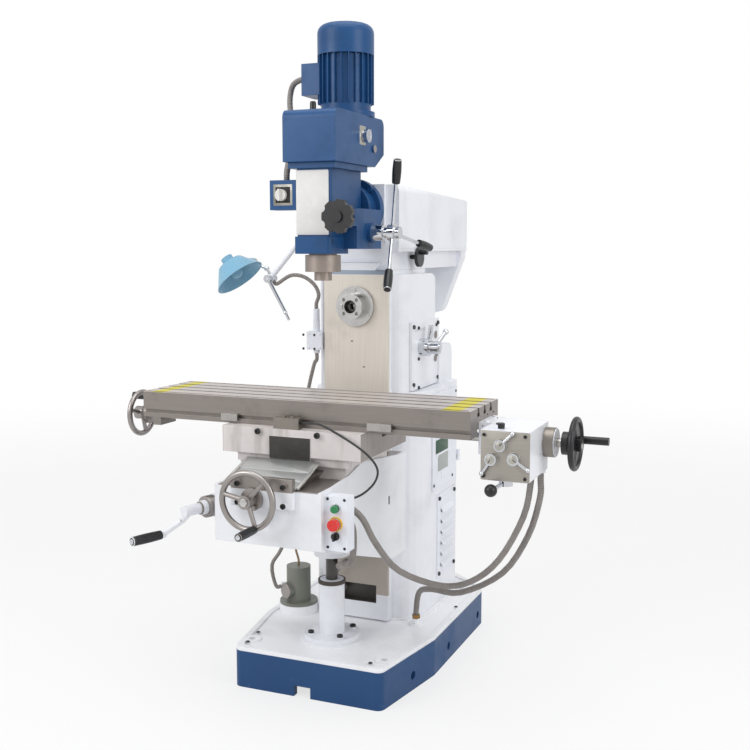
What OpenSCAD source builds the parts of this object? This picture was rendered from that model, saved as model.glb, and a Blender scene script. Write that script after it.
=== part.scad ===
// Universal drilling and milling machine: a knee-type mill with a horizontal spindle in the column
// and a vertical quill head on a sliding ram. Millimetres. X runs along the table, Y to the back,
// Z up. The origin is on the floor, at the centre of the four foundation bolts.

/* [Quality] */
// Segments in a full circle
$fn = 64; // [32:8:96]

/* [Fits] */
// Gap between parts that slide or turn past each other
gap = 0.3; // [0.2:0.05:0.5]
// Radial clearance of a shaft in its bore
fit = 0.05; // [0.02:0.01:0.09]

/* [Base] */
// Height of the base casting
base_h = 138; // [125:1:160]
// Height of its blue skirt
skirt_h = 124; // [110:1:130]
// Half width at the front
base_fore_half = 262; // [250:1:290]
// Half width amidships
base_mid_half = 320; // [300:1:340]
// Half width at the rear
base_rear_half = 170; // [150:1:220]
// Front edge, ahead of the origin
base_fore = 466; // [450:1:500]
// Where the front taper ends, ahead of the origin
base_taper_fore = 130; // [100:1:160]
// Where the rear taper starts, behind the origin
base_taper_rear = 430; // [400:1:460]
// Rear edge, behind the origin
base_rear = 561; // [540:1:600]
// Thickness of the skirt
base_wall = 24; // [18:1:30]
// Thickness of the top plate
base_top_t = 22; // [18:1:30]
// Width of the raised rim round the top
rim_w = 20; // [14:1:28]
// How far the floor inside the rim is sunk
rim_d = 5; // [3:1:8]
// Foundation bolts, from the centre line
bolt_x = 240; // [236:1:244]
// Foundation bolts, from the origin
bolt_y = 385; // [360:1:395]
// Foundation bolt hole
bolt_d = 22; // [18:1:26]

/* [Column] */
// Height of the upper body above the lower one
up_h = 407; // [395:1:420]
// Half width of the slideway
way_half = 120; // [110:1:125]
// Slideway face, ahead of the origin
face_y = 60; // [55:1:70]
// Height above the base at which the machined slideway starts
way_start = 92; // [80:1:110]
// Half width of the lower body
low_half = 215; // [210:1:225]
// Height of the lower body above the base
low_h = 807; // [790:1:820]
// Rear of the lower body, behind the origin
low_rear = 430; // [420:1:440]
// Half width of the upper body
up_half = 170; // [165:1:180]
// Rear of the upper body, behind the origin
up_rear = 303; // [295:1:320]
// Wall of the column
col_wall = 24; // [20:1:30]
// Spindle axis below the column top
spin_drop = 108; // [100:1:115]

/* [Horizontal spindle] */
// Diameter of the spindle nose
nose_d = 88.9; // [80:0.1:95]
// Distance from the slideway face to the end of the nose
nose_reach = 49; // [45:1:55]
// Diameter of the front flange
spin_flg_d = 138; // [130:1:150]
// Thickness of the front flange
spin_flg_t = 12; // [10:1:16]
// Diameter of the spindle in the column
spin_shaft_d = 70; // [60:1:76]

/* [Knee] */
// Half width of the knee
knee_half = 177; // [172:1:182]
// Length of the knee from the slideway face
knee_len = 651; // [630:1:680]
// Height of the knee top above the floor
knee_top = 745; // [735:1:760]
// Depth of the knee at its front
knee_fore_h = 173; // [165:1:185]
// Depth of the knee at its rear
knee_rear_h = 348; // [335:1:355]
// Wall of the knee
knee_wall = 20; // [16:1:24]
// How far the knee wraps round the slideway
knee_wrap = 23; // [18:1:28]
// Screw axis of the knee lift, ahead of the origin
lift_y = 265; // [255:1:275]

/* [Saddle and table] */
// Half width of the saddle
sad_half = 236; // [230:1:245]
// Height of the saddle
sad_h = 149.4; // [140:0.2:160]
// Length of the saddle from front to back
sad_len = 370; // [350:1:385]
// Front of the saddle, ahead of the slideway face
sad_reach = 500; // [490:1:505]
// Length of the table
tab_len = 1120; // [1060:10:1180]
// Width of the table
tab_w = 280; // [270:1:300]
// Height of the table
tab_h = 83; // [76:1:90]
// Centre line of the table, ahead of the origin
tab_y = 376.5; // [370:0.5:382]
// Width of a T-slot's neck
slot_w = 14; // [12:1:16]
// Distance between T-slots
slot_pitch = 63; // [60:1:70]
// Diameter of the table's handwheels
wheel_d = 160; // [150:1:170]
// Diameter of the cross handwheel
cross_wheel_d = 185; // [170:1:188]

/* [Ram] */
// Half width of the ram
ram_half = 125; // [118:1:130]
// Height of the ram below its cover
ram_h = 62; // [56:1:70]
// Length of the ram from its front to the arbor support
ram_len = 690; // [660:1:720]
// Thickness of the arbor support
sup_t = 55; // [45:1:65]
// Height of the ram's cover at the front
cov_h = 215; // [205:1:225]
// Drop of the cover's roof towards the rear
cov_fall = 29; // [10:1:40]
// Half width of the cover
cov_half = 150; // [145:1:158]
// Bore of the arbor support
arbor_d = 32; // [28:1:36]

/* [Vertical head] */
// Spindle axis, ahead of the slideway face
head_reach = 259; // [255:1:265]
// Tilt axis above the column top
tilt_rise = 218; // [214:1:225]
// Half width of the head's body
head_half = 60; // [57:1:64]
// Height of the head's body above the collar block
head_h = 212; // [205:1:220]
// Half width of the gear housing
case_half = 90; // [86:1:96]
// Height of the gear housing
case_h = 160; // [150:1:165]
// Diameter of the quill's barrel
quill_d = 90; // [84:1:94]
// Diameter of the quill's collar
clr_d = 114; // [108:1:120]
// Diameter of the vertical spindle's nose
vnose_d = 56; // [50:1:60]
// Radius of the motor over its fins
mot_r = 93; // [88:1:98]
// Radius of the feed lever's grips round their axis
lev_reach = 237; // [225:1:245]

/* [Hidden] */

// Overrun of a cut past the face it opens
cut = 1;
// Paint and metal
blue = "#2f6aa8";
skirt_blue = "#3a5f96";
white = "#eef0f2";
steel = "#b9b2a8";
chrome = "#d8d8da";
black = "#222222";
grey = "#8c8880";
lamp_blue = "#84b4dc";
dark_green = "#4c5a52";

// An outline with an arc at each corner, from points [x, y, radius]
function unit(v) = v / norm(v);
function corner(a, b, c, steps = 8) =
  let (p = [b.x, b.y], u = unit([a.x, a.y] - p), v = unit([c.x, c.y] - p), half = acos(u * v) / 2,
    o = p + unit(u + v) * b.z / sin(half), s = p + u * b.z / tan(half) - o,
    e = p + v * b.z / tan(half) - o, first = atan2(s.y, s.x), turn = atan2(e.y, e.x) - first,
    sweep = turn > 180 ? turn - 360 : turn < -180 ? turn + 360 : turn)
  [for (i = [0 : steps]) o + b.z * [cos(first + sweep * i / steps), sin(first + sweep * i / steps)]];
function rnd(p) = let (n = len(p))
  [for (i = [0 : n - 1]) each p[i].z == 0 ? [[p[i].x, p[i].y]]
    : corner(p[(i + n - 1) % n], p[i], p[(i + 1) % n])];
function mirrored(p) = concat(p, [for (i = [len(p) - 1 : -1 : 0]) [-p[i].x, p[i].y, p[i].z]]);
// A prism whose outline lies in the Y-Z plane, from x0 along X
module side_prism(x0, length) at([x0, 0, 0]) rotate([90, 0, 90]) linear_extrude(length) children();
// A prism whose outline lies in the X-Z plane, from y0 towards the back
module fore_prism(y0, length)
  at([0, y0 + length, 0]) rotate([90, 0, 0]) linear_extrude(length) children();
// A box from its two corners
module at(place) translate(place) children();
module box(low, high) at(low) cube(high - low);
// A box whose upright edges are rounded
module post(low, high, r) at([0, 0, low.z]) linear_extrude(high.z - low.z)
  polygon(rnd([[low.x, low.y, r], [high.x, low.y, r], [high.x, high.y, r], [low.x, high.y, r]]));
// Round bars along each axis, from a point
module bar_x(p, r, length) at(p) rotate([0, 90, 0]) cylinder(r = r, h = length);
module bar_y(p, r, length) at(p) rotate([-90, 0, 0]) cylinder(r = r, h = length);
module bar_z(p, r, length) at(p) cylinder(r = r, h = length);
// A straight bar between two points
module rod(a, b, r) let (d = b - a) at(a)
  rotate([0, atan2(norm([d.x, d.y]), d.z), atan2(d.y, d.x)]) cylinder(r = r, h = norm(d));
// A dovetail's cross-section, or with a clearance the groove for one
module dovetail(root, crown, height, grow = 0) polygon([[-root - grow, grow > 0 ? -cut : 0],
  [root + grow, grow > 0 ? -cut : 0], [root + grow, 0], [crown + grow, height + grow],
  [-crown - grow, height + grow], [-root - grow, 0]]);
// A belt round two pulleys, whose centres lie apart along the second axis
function belt_path(r1, r2, apart, steps = 24) = let (lean = asin((r1 - r2) / apart))
  concat([for (i = [0 : steps]) let (a = 180 - lean + (180 + 2 * lean) * i / steps) r1 * [cos(a), sin(a)]],
    [for (i = [0 : steps]) let (a = lean + (180 - 2 * lean) * i / steps)
      [0, apart] + r2 * [cos(a), sin(a)]]);
module belt(r1, r2, apart, thick, wide) linear_extrude(wide) difference() {
  polygon(belt_path(r1 + thick, r2 + thick, apart));
  polygon(belt_path(r1, r2, apart));
}
// A hose: rings of eight points along a smooth curve through hand-chosen places
function spline(p, k, t) = let (n = len(p) - 1, a = p[max(k - 1, 0)], b = p[k], c = p[min(k + 1, n)],
  d = p[min(k + 2, n)]) (2 * b + (c - a) * t + (2 * a - 5 * b + 4 * c - d) * t * t
  + (3 * b - a - 3 * c + d) * t * t * t) / 2;
function route(p, steps) = concat([for (k = [0 : len(p) - 2]) for (i = [0 : steps - 1])
  spline(p, k, i / steps)], [p[len(p) - 1]]);
function swing(u, t) = unit(u - t * (u * t));
function sides_of(t, i = 0, u = [1, 0, 0], out = []) = i == len(t) ? out
  : let (v = swing(i == 0 && abs(t[0].x) > abs(t[0].z) ? [0, 0, 1] : u, t[i]))
    sides_of(t, i + 1, v, concat(out, [v]));
module hose(places, r, sides = 8, steps = 4) {
  p = route(places, steps);
  n = len(p);
  m = len(places) - 1;
  t = [for (i = [0 : n - 1]) unit(i == 0 ? places[1] - places[0] : i == n - 1
    ? places[m] - places[m - 1] : p[i + 1] - p[i - 1])];
  u = sides_of(t);
  rings = [for (i = [0 : n - 1]) for (j = [0 : sides - 1]) let (a = 360 * j / sides)
    p[i] + r * (u[i] * cos(a) + cross(t[i], u[i]) * sin(a))];
  walls = [for (i = [0 : n - 2]) for (j = [0 : sides - 1]) let (a = i * sides + j,
    b = i * sides + (j + 1) % sides) each [[a, a + sides, b], [b, a + sides, b + sides]]];
  caps = [[for (j = [0 : sides - 1]) j], [for (j = [sides - 1 : -1 : 0]) (n - 1) * sides + j]];
  polyhedron(points = rings, faces = concat(walls, caps));
}

// Places that several pieces share
top_z = base_h + low_h + up_h;
fore_y = -face_y;
way_z = base_h + way_start;
ledge_z = base_h + low_h;
spin_z = top_z - spin_drop;
lift = [0, -lift_y];
knee_fore = fore_y - knee_len;
knee_rear = fore_y + knee_wrap;
sad_fore = fore_y - sad_reach;
sad_rear = sad_fore + sad_len;
sad_z = knee_top + gap;
sad_top = sad_z + sad_h;
tab_z = sad_top + gap;
tab_top = tab_z + tab_h;
tab_mid = -tab_y;
tab_fore = tab_mid - tab_w / 2;
tab_end = tab_len / 2;
tilt_z = top_z + tilt_rise;
head_y = fore_y - head_reach;

// Base
base_corner = 26;
base_shoulder = 60;
rim_step = 2;
bolt_boss_d = 62;
notch_x = -44;
notch_w = 59;
notch_h = 36;
lift_hole_d = 28;
lift_hole_z = 50;
lift_hole_ys = [-271, 19, 361];
foot_margin = 14;
pump_at = [-229, -60];
pump_boss_r = 70;
pump_boss_h = 27;
tube_pad_r = 105;
tube_bore_r = 27;
union_at = [217, -35];
union_r = 13;
union_h = 18;
col_fore = 30;
col_fore_r = 140;
col_rear_r = 35;

module base_plan(in) polygon(rnd(mirrored([
  [base_fore_half - in, in - base_fore, base_corner],
  [base_mid_half - in, -base_taper_fore, base_shoulder],
  [base_mid_half - in, base_taper_rear, base_shoulder],
  [base_rear_half - in, base_rear - in, base_corner]])));
module low_plan(in) polygon(rnd(mirrored([
  [low_half - in, in - col_fore, col_fore_r - in],
  [low_half - in, low_rear - in, col_rear_r - min(in, col_rear_r / 2)]])));
module base() color(skirt_blue) difference() {
  union() {
    difference() {
      union() {
        linear_extrude(skirt_h) base_plan(0);
        linear_extrude(base_h) base_plan(rim_step);
      }
      at([0, 0, -cut]) linear_extrude(base_h - base_top_t + cut) base_plan(base_wall);
      at([0, 0, base_h - rim_d]) linear_extrude(base_h) base_plan(rim_w);
    }
    at([0, 0, base_h - base_top_t]) linear_extrude(base_top_t) low_plan(-foot_margin);
    bar_z([lift.x, lift.y, base_h - base_top_t], tube_pad_r, base_top_t);
    bar_z([pump_at.x, pump_at.y, base_h - base_top_t], pump_boss_r, base_top_t + pump_boss_h);
    bar_z([union_at.x, union_at.y, base_h - base_top_t], union_r * 2, base_top_t);
    bar_z([union_at.x, union_at.y, base_h - base_top_t], union_r, base_top_t + union_h);
    for (x = [-bolt_x, bolt_x], y = [-bolt_y, bolt_y]) bar_z([x, y, 0], bolt_boss_d / 2, base_h);
  }
  for (x = [-bolt_x, bolt_x], y = [-bolt_y, bolt_y]) bar_z([x, y, -cut], bolt_d / 2, base_h + 2 * cut);
  bar_z([lift.x, lift.y, 0], tube_bore_r, base_h + cut);
  box([notch_x, -base_fore - cut, -cut], [notch_x + notch_w, base_wall + cut - base_fore, notch_h]);
  for (y = lift_hole_ys) bar_x([-base_mid_half - cut, y, lift_hole_z], lift_hole_d / 2,
    2 * (base_mid_half + cut));
}

// Column
way_depth = 80;
up_fore_r = 60;
top_r = 80;
floor_t = 22;
cavity_top = 27;
ledge_t = 25;
win_half = 76;
win_drop = 32;
win_h = 64;
win_d = 40;
vent_y = 180;
vent_w = 200;
vent_z = 94;
vent_h = 315;
vent_lip = 20;
door_y = 118;
door_w = 266;
door_t = 6;
door_drop = 20;
door_gap = 26;
door_h = low_h - door_drop - vent_z - vent_h - door_gap;
door_lip = 27;
hng_out = 11;
hng_back = 8;
hng_r = 6;
hng_pin_r = 3;
hng_h = 20;
hng_in = 67;
tray_x = 96;
tray_t = 6;
cont = [45, 60, 80];
cont_pitch = 85;
side_pl_t = 8;
side_pl_y = 15;
side_pl_w = 281;
side_pl_rise = 3;
side_pl_h = 238;
scr_r = 7;
scr_h = 3;
scr_in = 16;
plug_r = 14;
plug_y = 252;
plug_drop = 224;
plug_pitch = 85;
rear_box_half = 185;
rear_box_w = 122;
rear_box_h = 143;
rear_box_r = 45;
way_pl_t = 15;
way_pl_len = 350;
ram_root = 70;
ram_crown = 88;
ram_tail_h = 25;
lev_y = 103;
lev_drop = 257;
inner_shaft_r = 12;
outer_shaft_r = 8;
bearing_r = 58;
bearing_len = 46;
rear_journal_r = 30;
rear_journal_cap = 8;
mot_z = 282;
mot_r_low = 95;
mot_fore = 20;
mot_len = 195;
crad_half = 60;
crad_fore = 60;
crad_len = 120;
val_x = -184;
val_w = 58;
val_fore = -70;
val_drop = 264;
val_h = 64;
ram_z = top_z + way_pl_t + gap;
lev_at = [lev_y, top_z - lev_drop];
door_z = ledge_z - door_drop - door_h;
hng_at = [low_half + hng_out, door_y + door_w + hng_back];
hng_zs = [door_z + hng_in, door_z + door_h - hng_in - hng_h];

module up_plan(in) polygon(rnd(mirrored([
  [up_half - in, in - col_fore, up_fore_r - in],
  [up_half - in, up_rear - in, col_rear_r - min(in, col_rear_r / 2)]])));
module screws_x(x, ys, zs) for (y = ys, z = zs) bar_x([x, y, z], scr_r, scr_h);
module column() color(white) difference() {
  union() {
    difference() {
      union() {
        at([0, 0, base_h]) linear_extrude(low_h) low_plan(0);
        intersection() {
          at([0, 0, ledge_z - ledge_t]) linear_extrude(top_z - ledge_z + ledge_t)
            up_plan(0);
          side_prism(-up_half, 2 * up_half) polygon(rnd([
            [-col_fore, ledge_z - ledge_t, 0], [up_rear, ledge_z - ledge_t, 0],
            [up_rear, top_z, top_r], [-col_fore, top_z, 0]]));
        }
        box([-way_half, fore_y, base_h], [way_half, fore_y + way_depth, top_z]);
      }
      at([0, 0, base_h + floor_t]) linear_extrude(low_h - floor_t - ledge_t)
        low_plan(col_wall);
      at([0, 0, ledge_z - 2 * ledge_t])
        linear_extrude(top_z - cavity_top - ledge_z + 2 * ledge_t) up_plan(col_wall);
    }
    side_prism(-rear_box_half, 2 * rear_box_half) polygon(rnd([
      [up_rear - rear_box_r / 2, ledge_z - cut, 0], [up_rear + rear_box_w, ledge_z - cut, 0],
      [up_rear + rear_box_w, ledge_z + rear_box_h, rear_box_r],
      [up_rear - rear_box_r / 2, ledge_z + rear_box_h, 0]]));
    box([up_half - cut, side_pl_y, ledge_z + side_pl_rise],
      [up_half + side_pl_t, side_pl_y + side_pl_w,
      ledge_z + side_pl_rise + side_pl_h]);
    screws_x(up_half + side_pl_t, [side_pl_y + scr_in,
      side_pl_y + side_pl_w - scr_in], [ledge_z + side_pl_rise + scr_in,
      ledge_z + side_pl_rise + side_pl_h - scr_in]);
    for (k = [0, 1]) bar_x([up_half, plug_y, top_z - plug_drop - k * plug_pitch], plug_r,
      side_pl_t + scr_h);
    box([-ram_half, fore_y, top_z - cut], [ram_half, fore_y + way_pl_len, top_z + way_pl_t]);
    at([0, 0, top_z + way_pl_t]) fore_prism(fore_y, way_pl_len)
      dovetail(ram_root, ram_crown, ram_tail_h);
    bar_y([0, fore_y + cut, spin_z], bearing_r, bearing_len + face_y - col_fore + col_wall);
    box([val_x, -col_fore, top_z - val_drop],
      [-way_half + cut, up_fore_r - col_fore, top_z - val_drop + val_h]);
    difference() {
      box([-crad_half, crad_fore, base_h + floor_t - cut],
        [crad_half, crad_fore + crad_len, base_h + mot_z]);
      bar_y([0, 0, base_h + mot_z], mot_r_low, 2 * mot_len);
    }
    box([tray_x, col_wall - col_fore - cut, door_z],
      [tray_x + tray_t, low_rear - col_wall + cut, door_z + door_h]);
    for (k = [0 : 2]) at([tray_x + tray_t - cut, door_y + k * cont_pitch + door_lip / 2,
      door_z + door_h / 2]) cube(cont);
    for (z = hng_zs) {
      box([low_half - hng_out, hng_at.y, z], [hng_at.x, hng_at.y + hng_r, z + hng_h]);
      bar_z([hng_at.x, hng_at.y, z], hng_r, hng_h);
      bar_z([hng_at.x, hng_at.y, z], hng_pin_r, 2 * hng_h);
    }
  }
  bar_y([0, fore_y - cut, spin_z], spin_shaft_d / 2 + fit, up_rear - fore_y - col_wall);
  bar_y([0, 0, spin_z], rear_journal_r + fit, up_rear - rear_journal_cap);
  box([-win_half, fore_y - cut, way_z - win_drop],
    [win_half, fore_y + win_d, way_z - win_drop + win_h]);
  box([0, vent_y + vent_lip, base_h + vent_z + vent_lip],
    [low_half + cut, vent_y + vent_w - vent_lip, base_h + vent_z + vent_h - vent_lip]);
  box([low_half - col_wall - cut, door_y + door_lip, door_z + door_lip],
    [low_half + cut, door_y + door_w - door_lip, door_z + door_h - door_lip]);
  bar_x([up_half - col_wall - cut, lev_at.x, lev_at.y], inner_shaft_r + fit,
    col_wall + side_pl_t + 2 * cut);
}

// Louvred panel over the motor
pan_t = 4;
louv_n = 6;
louv_in = 34;
louv_out = 14;
louv_h = 18;
module louvre_panel() color(white) {
  pitch = (vent_h - 2 * louv_in) / louv_n;
  difference() {
    box([low_half, vent_y, base_h + vent_z],
      [low_half + pan_t, vent_y + vent_w, base_h + vent_z + vent_h]);
    for (k = [0 : louv_n - 1]) at([0, 0, base_h + vent_z + louv_in + k * pitch])
      box([low_half - cut, vent_y + louv_in + cut, pan_t],
        [low_half + pan_t + cut, vent_y + vent_w - louv_in - cut, louv_h]);
  }
  for (k = [0 : louv_n - 1]) at([0, 0, base_h + vent_z + louv_in + k * pitch])
    fore_prism(vent_y + louv_in, vent_w - 2 * louv_in) polygon([
      [low_half + pan_t, louv_h + pan_t], [low_half + pan_t, louv_h],
      [low_half + louv_out, pan_t], [low_half + louv_out + pan_t, pan_t]]);
  screws_x(low_half + pan_t, [vent_y + scr_in, vent_y + vent_w - scr_in],
    [base_h + vent_z + scr_in, base_h + vent_z + vent_h - scr_in]);
}

// Door of the electrical cabinet, hung at its rear edge
latch_r = 10;
latch_in = 24;
up_label = [36, 194, 117, 80];
low_label = [92, 208, 31, 70];
label_t = 1;
module cabinet_door() color(white) {
  x = low_half + gap;
  box([x, door_y, door_z], [x + door_t, door_y + door_w, door_z + door_h]);
  for (z = hng_zs) difference() {
    union() {
      box([x, door_y + door_w - cut, z + hng_h + gap], [x + door_t, hng_at.y, z + 2 * hng_h]);
      bar_z([hng_at.x, hng_at.y, z + hng_h + gap], hng_r, hng_h - gap);
    }
    bar_z([hng_at.x, hng_at.y, z], hng_pin_r + fit, 3 * hng_h);
  }
  for (z = [door_z + latch_in, door_z + door_h - latch_in])
    bar_x([x + door_t, door_y + latch_in, z], latch_r, scr_h);
  for (l = [up_label, low_label])
    box([x + door_t - label_t, door_y + l[0], door_z + l[2]],
      [x + door_t + label_t, door_y + l[1], door_z + l[2] + l[3]]);
}

// Horizontal spindle, its flange and its drive
flg_scr_r = 6;
flg_scr_ring = 57;
socket_r = 22.2;
socket_d = 65;
drawbar_r = 8.5;
nose_hole_r = 6;
nose_ring = 33.35;
nose_hole_d = 20;
key = [16, 25, 10];
belt_y = 225;
belt_w = 40;
low_pul_r = 48;
high_pul_r = 72;
belt_t = 8;
mot_shaft_r = 12;
mot_shaft_in = 120;
fin_n = 8;
fin_t = 5;
fin_h = 4;
pul_rim = 4;
module spindle_flange() color(steel) difference() {
  union() {
    bar_y([0, fore_y - spin_flg_t, spin_z], spin_flg_d / 2, spin_flg_t);
    for (a = [30 : 120 : 270]) rotate_at(spin_z, a)
      bar_y([flg_scr_ring, fore_y - spin_flg_t - scr_h, 0], flg_scr_r,
        scr_h + cut);
  }
  bar_y([0, fore_y - spin_flg_t - cut, spin_z], spin_shaft_d / 2 + gap,
    spin_flg_t + 2 * cut);
}
// Turns its child about an axis that runs back at height z
module rotate_at(z, a) at([0, 0, z]) rotate([0, a, 0]) children();
module horizontal_spindle() color(steel) difference() {
  y0 = fore_y - nose_reach;
  back = fore_y - spin_flg_t - gap;
  union() {
    bar_y([0, y0, spin_z], nose_d / 2, back - y0);
    bar_y([0, back - cut, spin_z], spin_shaft_d / 2, belt_y + belt_w - back + cut);
    bar_y([0, belt_y, spin_z], high_pul_r, belt_w);
    bar_y([0, belt_y, spin_z], rear_journal_r, up_rear - rear_journal_cap - gap - belt_y);
    for (a = [0, 180]) rotate_at(spin_z, a) at([nose_d / 2 - key.x - cut, y0 - key.z / 2, -key.x / 2])
      cube([key.x, key.y, key.x]);
  }
  at([0, y0 - cut, spin_z]) rotate([-90, 0, 0])
    cylinder(r1 = nose_taper_r(cut), r2 = nose_taper_r(-socket_d), h = socket_d + cut);
  bar_y([0, y0, spin_z], drawbar_r, up_rear);
  for (a = [45 : 90 : 315]) rotate_at(spin_z, a) bar_y([nose_ring, y0 - cut, 0], nose_hole_r, nose_hole_d);
}
// Radius of the 7:24 socket, a distance ahead of the nose
function nose_taper_r(ahead) = socket_r + ahead * 7 / 48;
module horizontal_motor() color(grey) difference() {
  z = base_h + mot_z;
  union() {
    bar_y([0, mot_fore, z], mot_r_low, mot_len);
    for (k = [1 : fin_n]) rotate_at(z, -90 + k * 180 / (fin_n + 1))
      box([-fin_t / 2, mot_fore + fin_t, mot_r_low - fin_t],
        [fin_t / 2, mot_fore + mot_len - fin_t, mot_r_low + fin_h]);
  }
  bar_y([0, mot_fore + mot_len - mot_shaft_in, z], mot_shaft_r + fit, mot_len);
}
module motor_pulley() color(steel) {
  z = base_h + mot_z;
  bar_y([0, mot_fore + mot_len - mot_shaft_in + gap, z], mot_shaft_r,
    belt_y + belt_w - mot_fore - mot_len + mot_shaft_in);
  bar_y([0, belt_y, z], low_pul_r, belt_w);
  for (y = [belt_y - pul_rim, belt_y + belt_w]) bar_y([0, y, z], low_pul_r + belt_t, pul_rim);
}
module drive_belt() color(black) at([0, belt_y + belt_w - gap, base_h + mot_z]) rotate([90, 0, 0])
  belt(low_pul_r + gap, high_pul_r + gap, spin_z - base_h - mot_z, belt_t, belt_w - 2 * gap);

// Gear levers on the column's right side, one on the other's hub
inner_hub_r = 31;
inner_hub_t = 35;
outer_hub_r = 23;
outer_hub_t = 35;
inner_rise = [24, 67];
outer_rise = [74, 50];
lev_t = 12;
lev_w = 22;
outer_rod_r = 7;
hub_cap_r = 14;
hub_cap_t = 5;
shaft_tail = 20;
inner_x = up_half + side_pl_t + gap;
outer_x = inner_x + inner_hub_t + gap;
module gear_lever_inner() color(steel) difference() {
  union() {
    bar_x([inner_x, lev_at.x, lev_at.y], inner_hub_r, inner_hub_t);
    bar_x([up_half - col_wall - shaft_tail, lev_at.x, lev_at.y], inner_shaft_r,
      inner_x + cut - up_half + col_wall + shaft_tail);
    side_prism(inner_x + inner_hub_t - lev_t, lev_t) at([lev_at.x, lev_at.y])
      rotate(atan2(inner_rise.y, inner_rise.x)) at([0, -lev_w / 2])
        square([norm(inner_rise), lev_w]);
    bar_x([inner_x + inner_hub_t - lev_t, lev_at.x + inner_rise.x, lev_at.y + inner_rise.y],
      lev_w / 2, lev_t);
  }
  bar_x([0, lev_at.x, lev_at.y], outer_shaft_r + fit, outer_x + cut);
}
module gear_lever_outer() color(steel) {
  bar_x([outer_x, lev_at.x, lev_at.y], outer_hub_r, outer_hub_t);
  bar_x([outer_x + outer_hub_t - cut, lev_at.x, lev_at.y], hub_cap_r, hub_cap_t);
  bar_x([up_half - col_wall - shaft_tail, lev_at.x, lev_at.y], outer_shaft_r,
    outer_x + cut - up_half + col_wall + shaft_tail);
  x = outer_x + outer_hub_t / 2;
  rod([x, lev_at.x, lev_at.y],
    [x + hub_cap_r, lev_at.x + outer_rise.x, lev_at.y + outer_rise.y], outer_rod_r);
  at([x + hub_cap_r, lev_at.x + outer_rise.x, lev_at.y + outer_rise.y]) sphere(r = lev_w / 2);
}

// Lift of the knee: the fixed tube, the screw with its gear, and the crank with its shaft
tube_flg_r = 93;
tube_flg_t = 19;
tube_r = 43;
tube_h = 202;
tube_ring_r = 46;
tube_ring_h = 12;
tube_bolt_ring = 75;
tube_bolt_r = 10;
nut_h = 60;
nut_bore = 20.3;
lift_scr_r = 20;
scr_low = 95;
scr_high = 686;
clr_r = 24;
clr_flg_r = 34;
boss_r = 59;
boss_low = 320;
boss_h = 95;
lift_gear_r = 67;
shaft_gear_r = 33.5;
gear_t = 30;
gear_w = 40;
crk_z = 93;
module elevating_tube() color(white) difference() {
  union() {
    bar_z([lift.x, lift.y, base_h], tube_flg_r, tube_flg_t);
    bar_z([lift.x, lift.y, base_h], tube_r, tube_h);
    bar_z([lift.x, lift.y, base_h + tube_h - tube_ring_h], tube_ring_r, tube_ring_h);
    for (a = [45 : 90 : 315]) at([lift.x, lift.y, 0]) rotate(a)
      bar_z([tube_bolt_ring, 0, base_h], tube_bolt_r, tube_flg_t + tube_bolt_r / 2);
  }
  bar_z([lift.x, lift.y, 0], tube_bore_r, base_h + tube_h - nut_h);
  bar_z([lift.x, lift.y, 0], nut_bore, base_h + tube_h + cut);
}
module elevating_screw() color(steel) {
  boss_z = knee_top - boss_low;
  bar_z([lift.x, lift.y, scr_low], lift_scr_r, scr_high - scr_low);
  bar_z([lift.x, lift.y, boss_z], clr_r, boss_h + cut);
  bar_z([lift.x, lift.y, boss_z + boss_h + gap], clr_flg_r, pul_rim * 2);
  bar_z([lift.x, lift.y, knee_top - crk_z - gear_t / 2], lift_gear_r - gap, gear_t);
}
crk_at = [-238, -625];
crk_lean = -20;
crk_shaft_r = 14;
crk_shaft_len = 440;
crk_boss_r = 36;
crk_boss_start = 2;
crk_boss_len = 250;
dial_r = 33;
dial_t = 30;
clutch_r = 22;
clutch_t = 18;
crk_hub_r = 17;
crk_hub_t = 62;
crk_arm = 135;
crk_turn = -139;
crk_arm_r = 9;
crk_knee_share = 0.45;
crk_offset = 36;
crk_grip_r = 14;
crk_grip_len = 105;
// The crank is drawn on its own axis: outwards is -Y, and it stands at the end of the boss
module on_crk() at([crk_at.x, crk_at.y, knee_top - crk_z]) rotate(crk_lean) children();
module elevating_crank() color(steel) on_crk() {
  hub_y = -dial_t - clutch_t;
  arm = crk_arm * [cos(crk_turn), 0, sin(crk_turn)];
  elbow = arm * crk_knee_share + [0, hub_y - crk_hub_t / 2, 0];
  tip = arm + [0, hub_y - crk_hub_t / 2 - crk_offset, 0];
  bar_y([0, -dial_t, 0], dial_r, dial_t);
  bar_y([0, hub_y, 0], clutch_r, clutch_t + cut);
  bar_y([0, hub_y - crk_hub_t, 0], crk_hub_r, crk_hub_t + cut);
  bar_y([0, -cut, 0], crk_shaft_r, crk_shaft_len + cut);
  bar_y([0, crk_shaft_len - gear_w, 0], shaft_gear_r - gap, gear_w);
  rod([0, hub_y - crk_hub_t / 2, 0], elbow, crk_arm_r);
  at(elbow) sphere(r = crk_arm_r);
  rod(elbow, tip, crk_arm_r);
  at(tip) sphere(r = crk_arm_r * 1.4);
  bar_y([tip.x, tip.y - crk_grip_len - crk_arm_r, tip.z], crk_grip_r, crk_grip_len);
  bar_y([tip.x, tip.y - crk_arm_r - cut, tip.z], crk_arm_r, crk_arm_r + cut);
}

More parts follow.
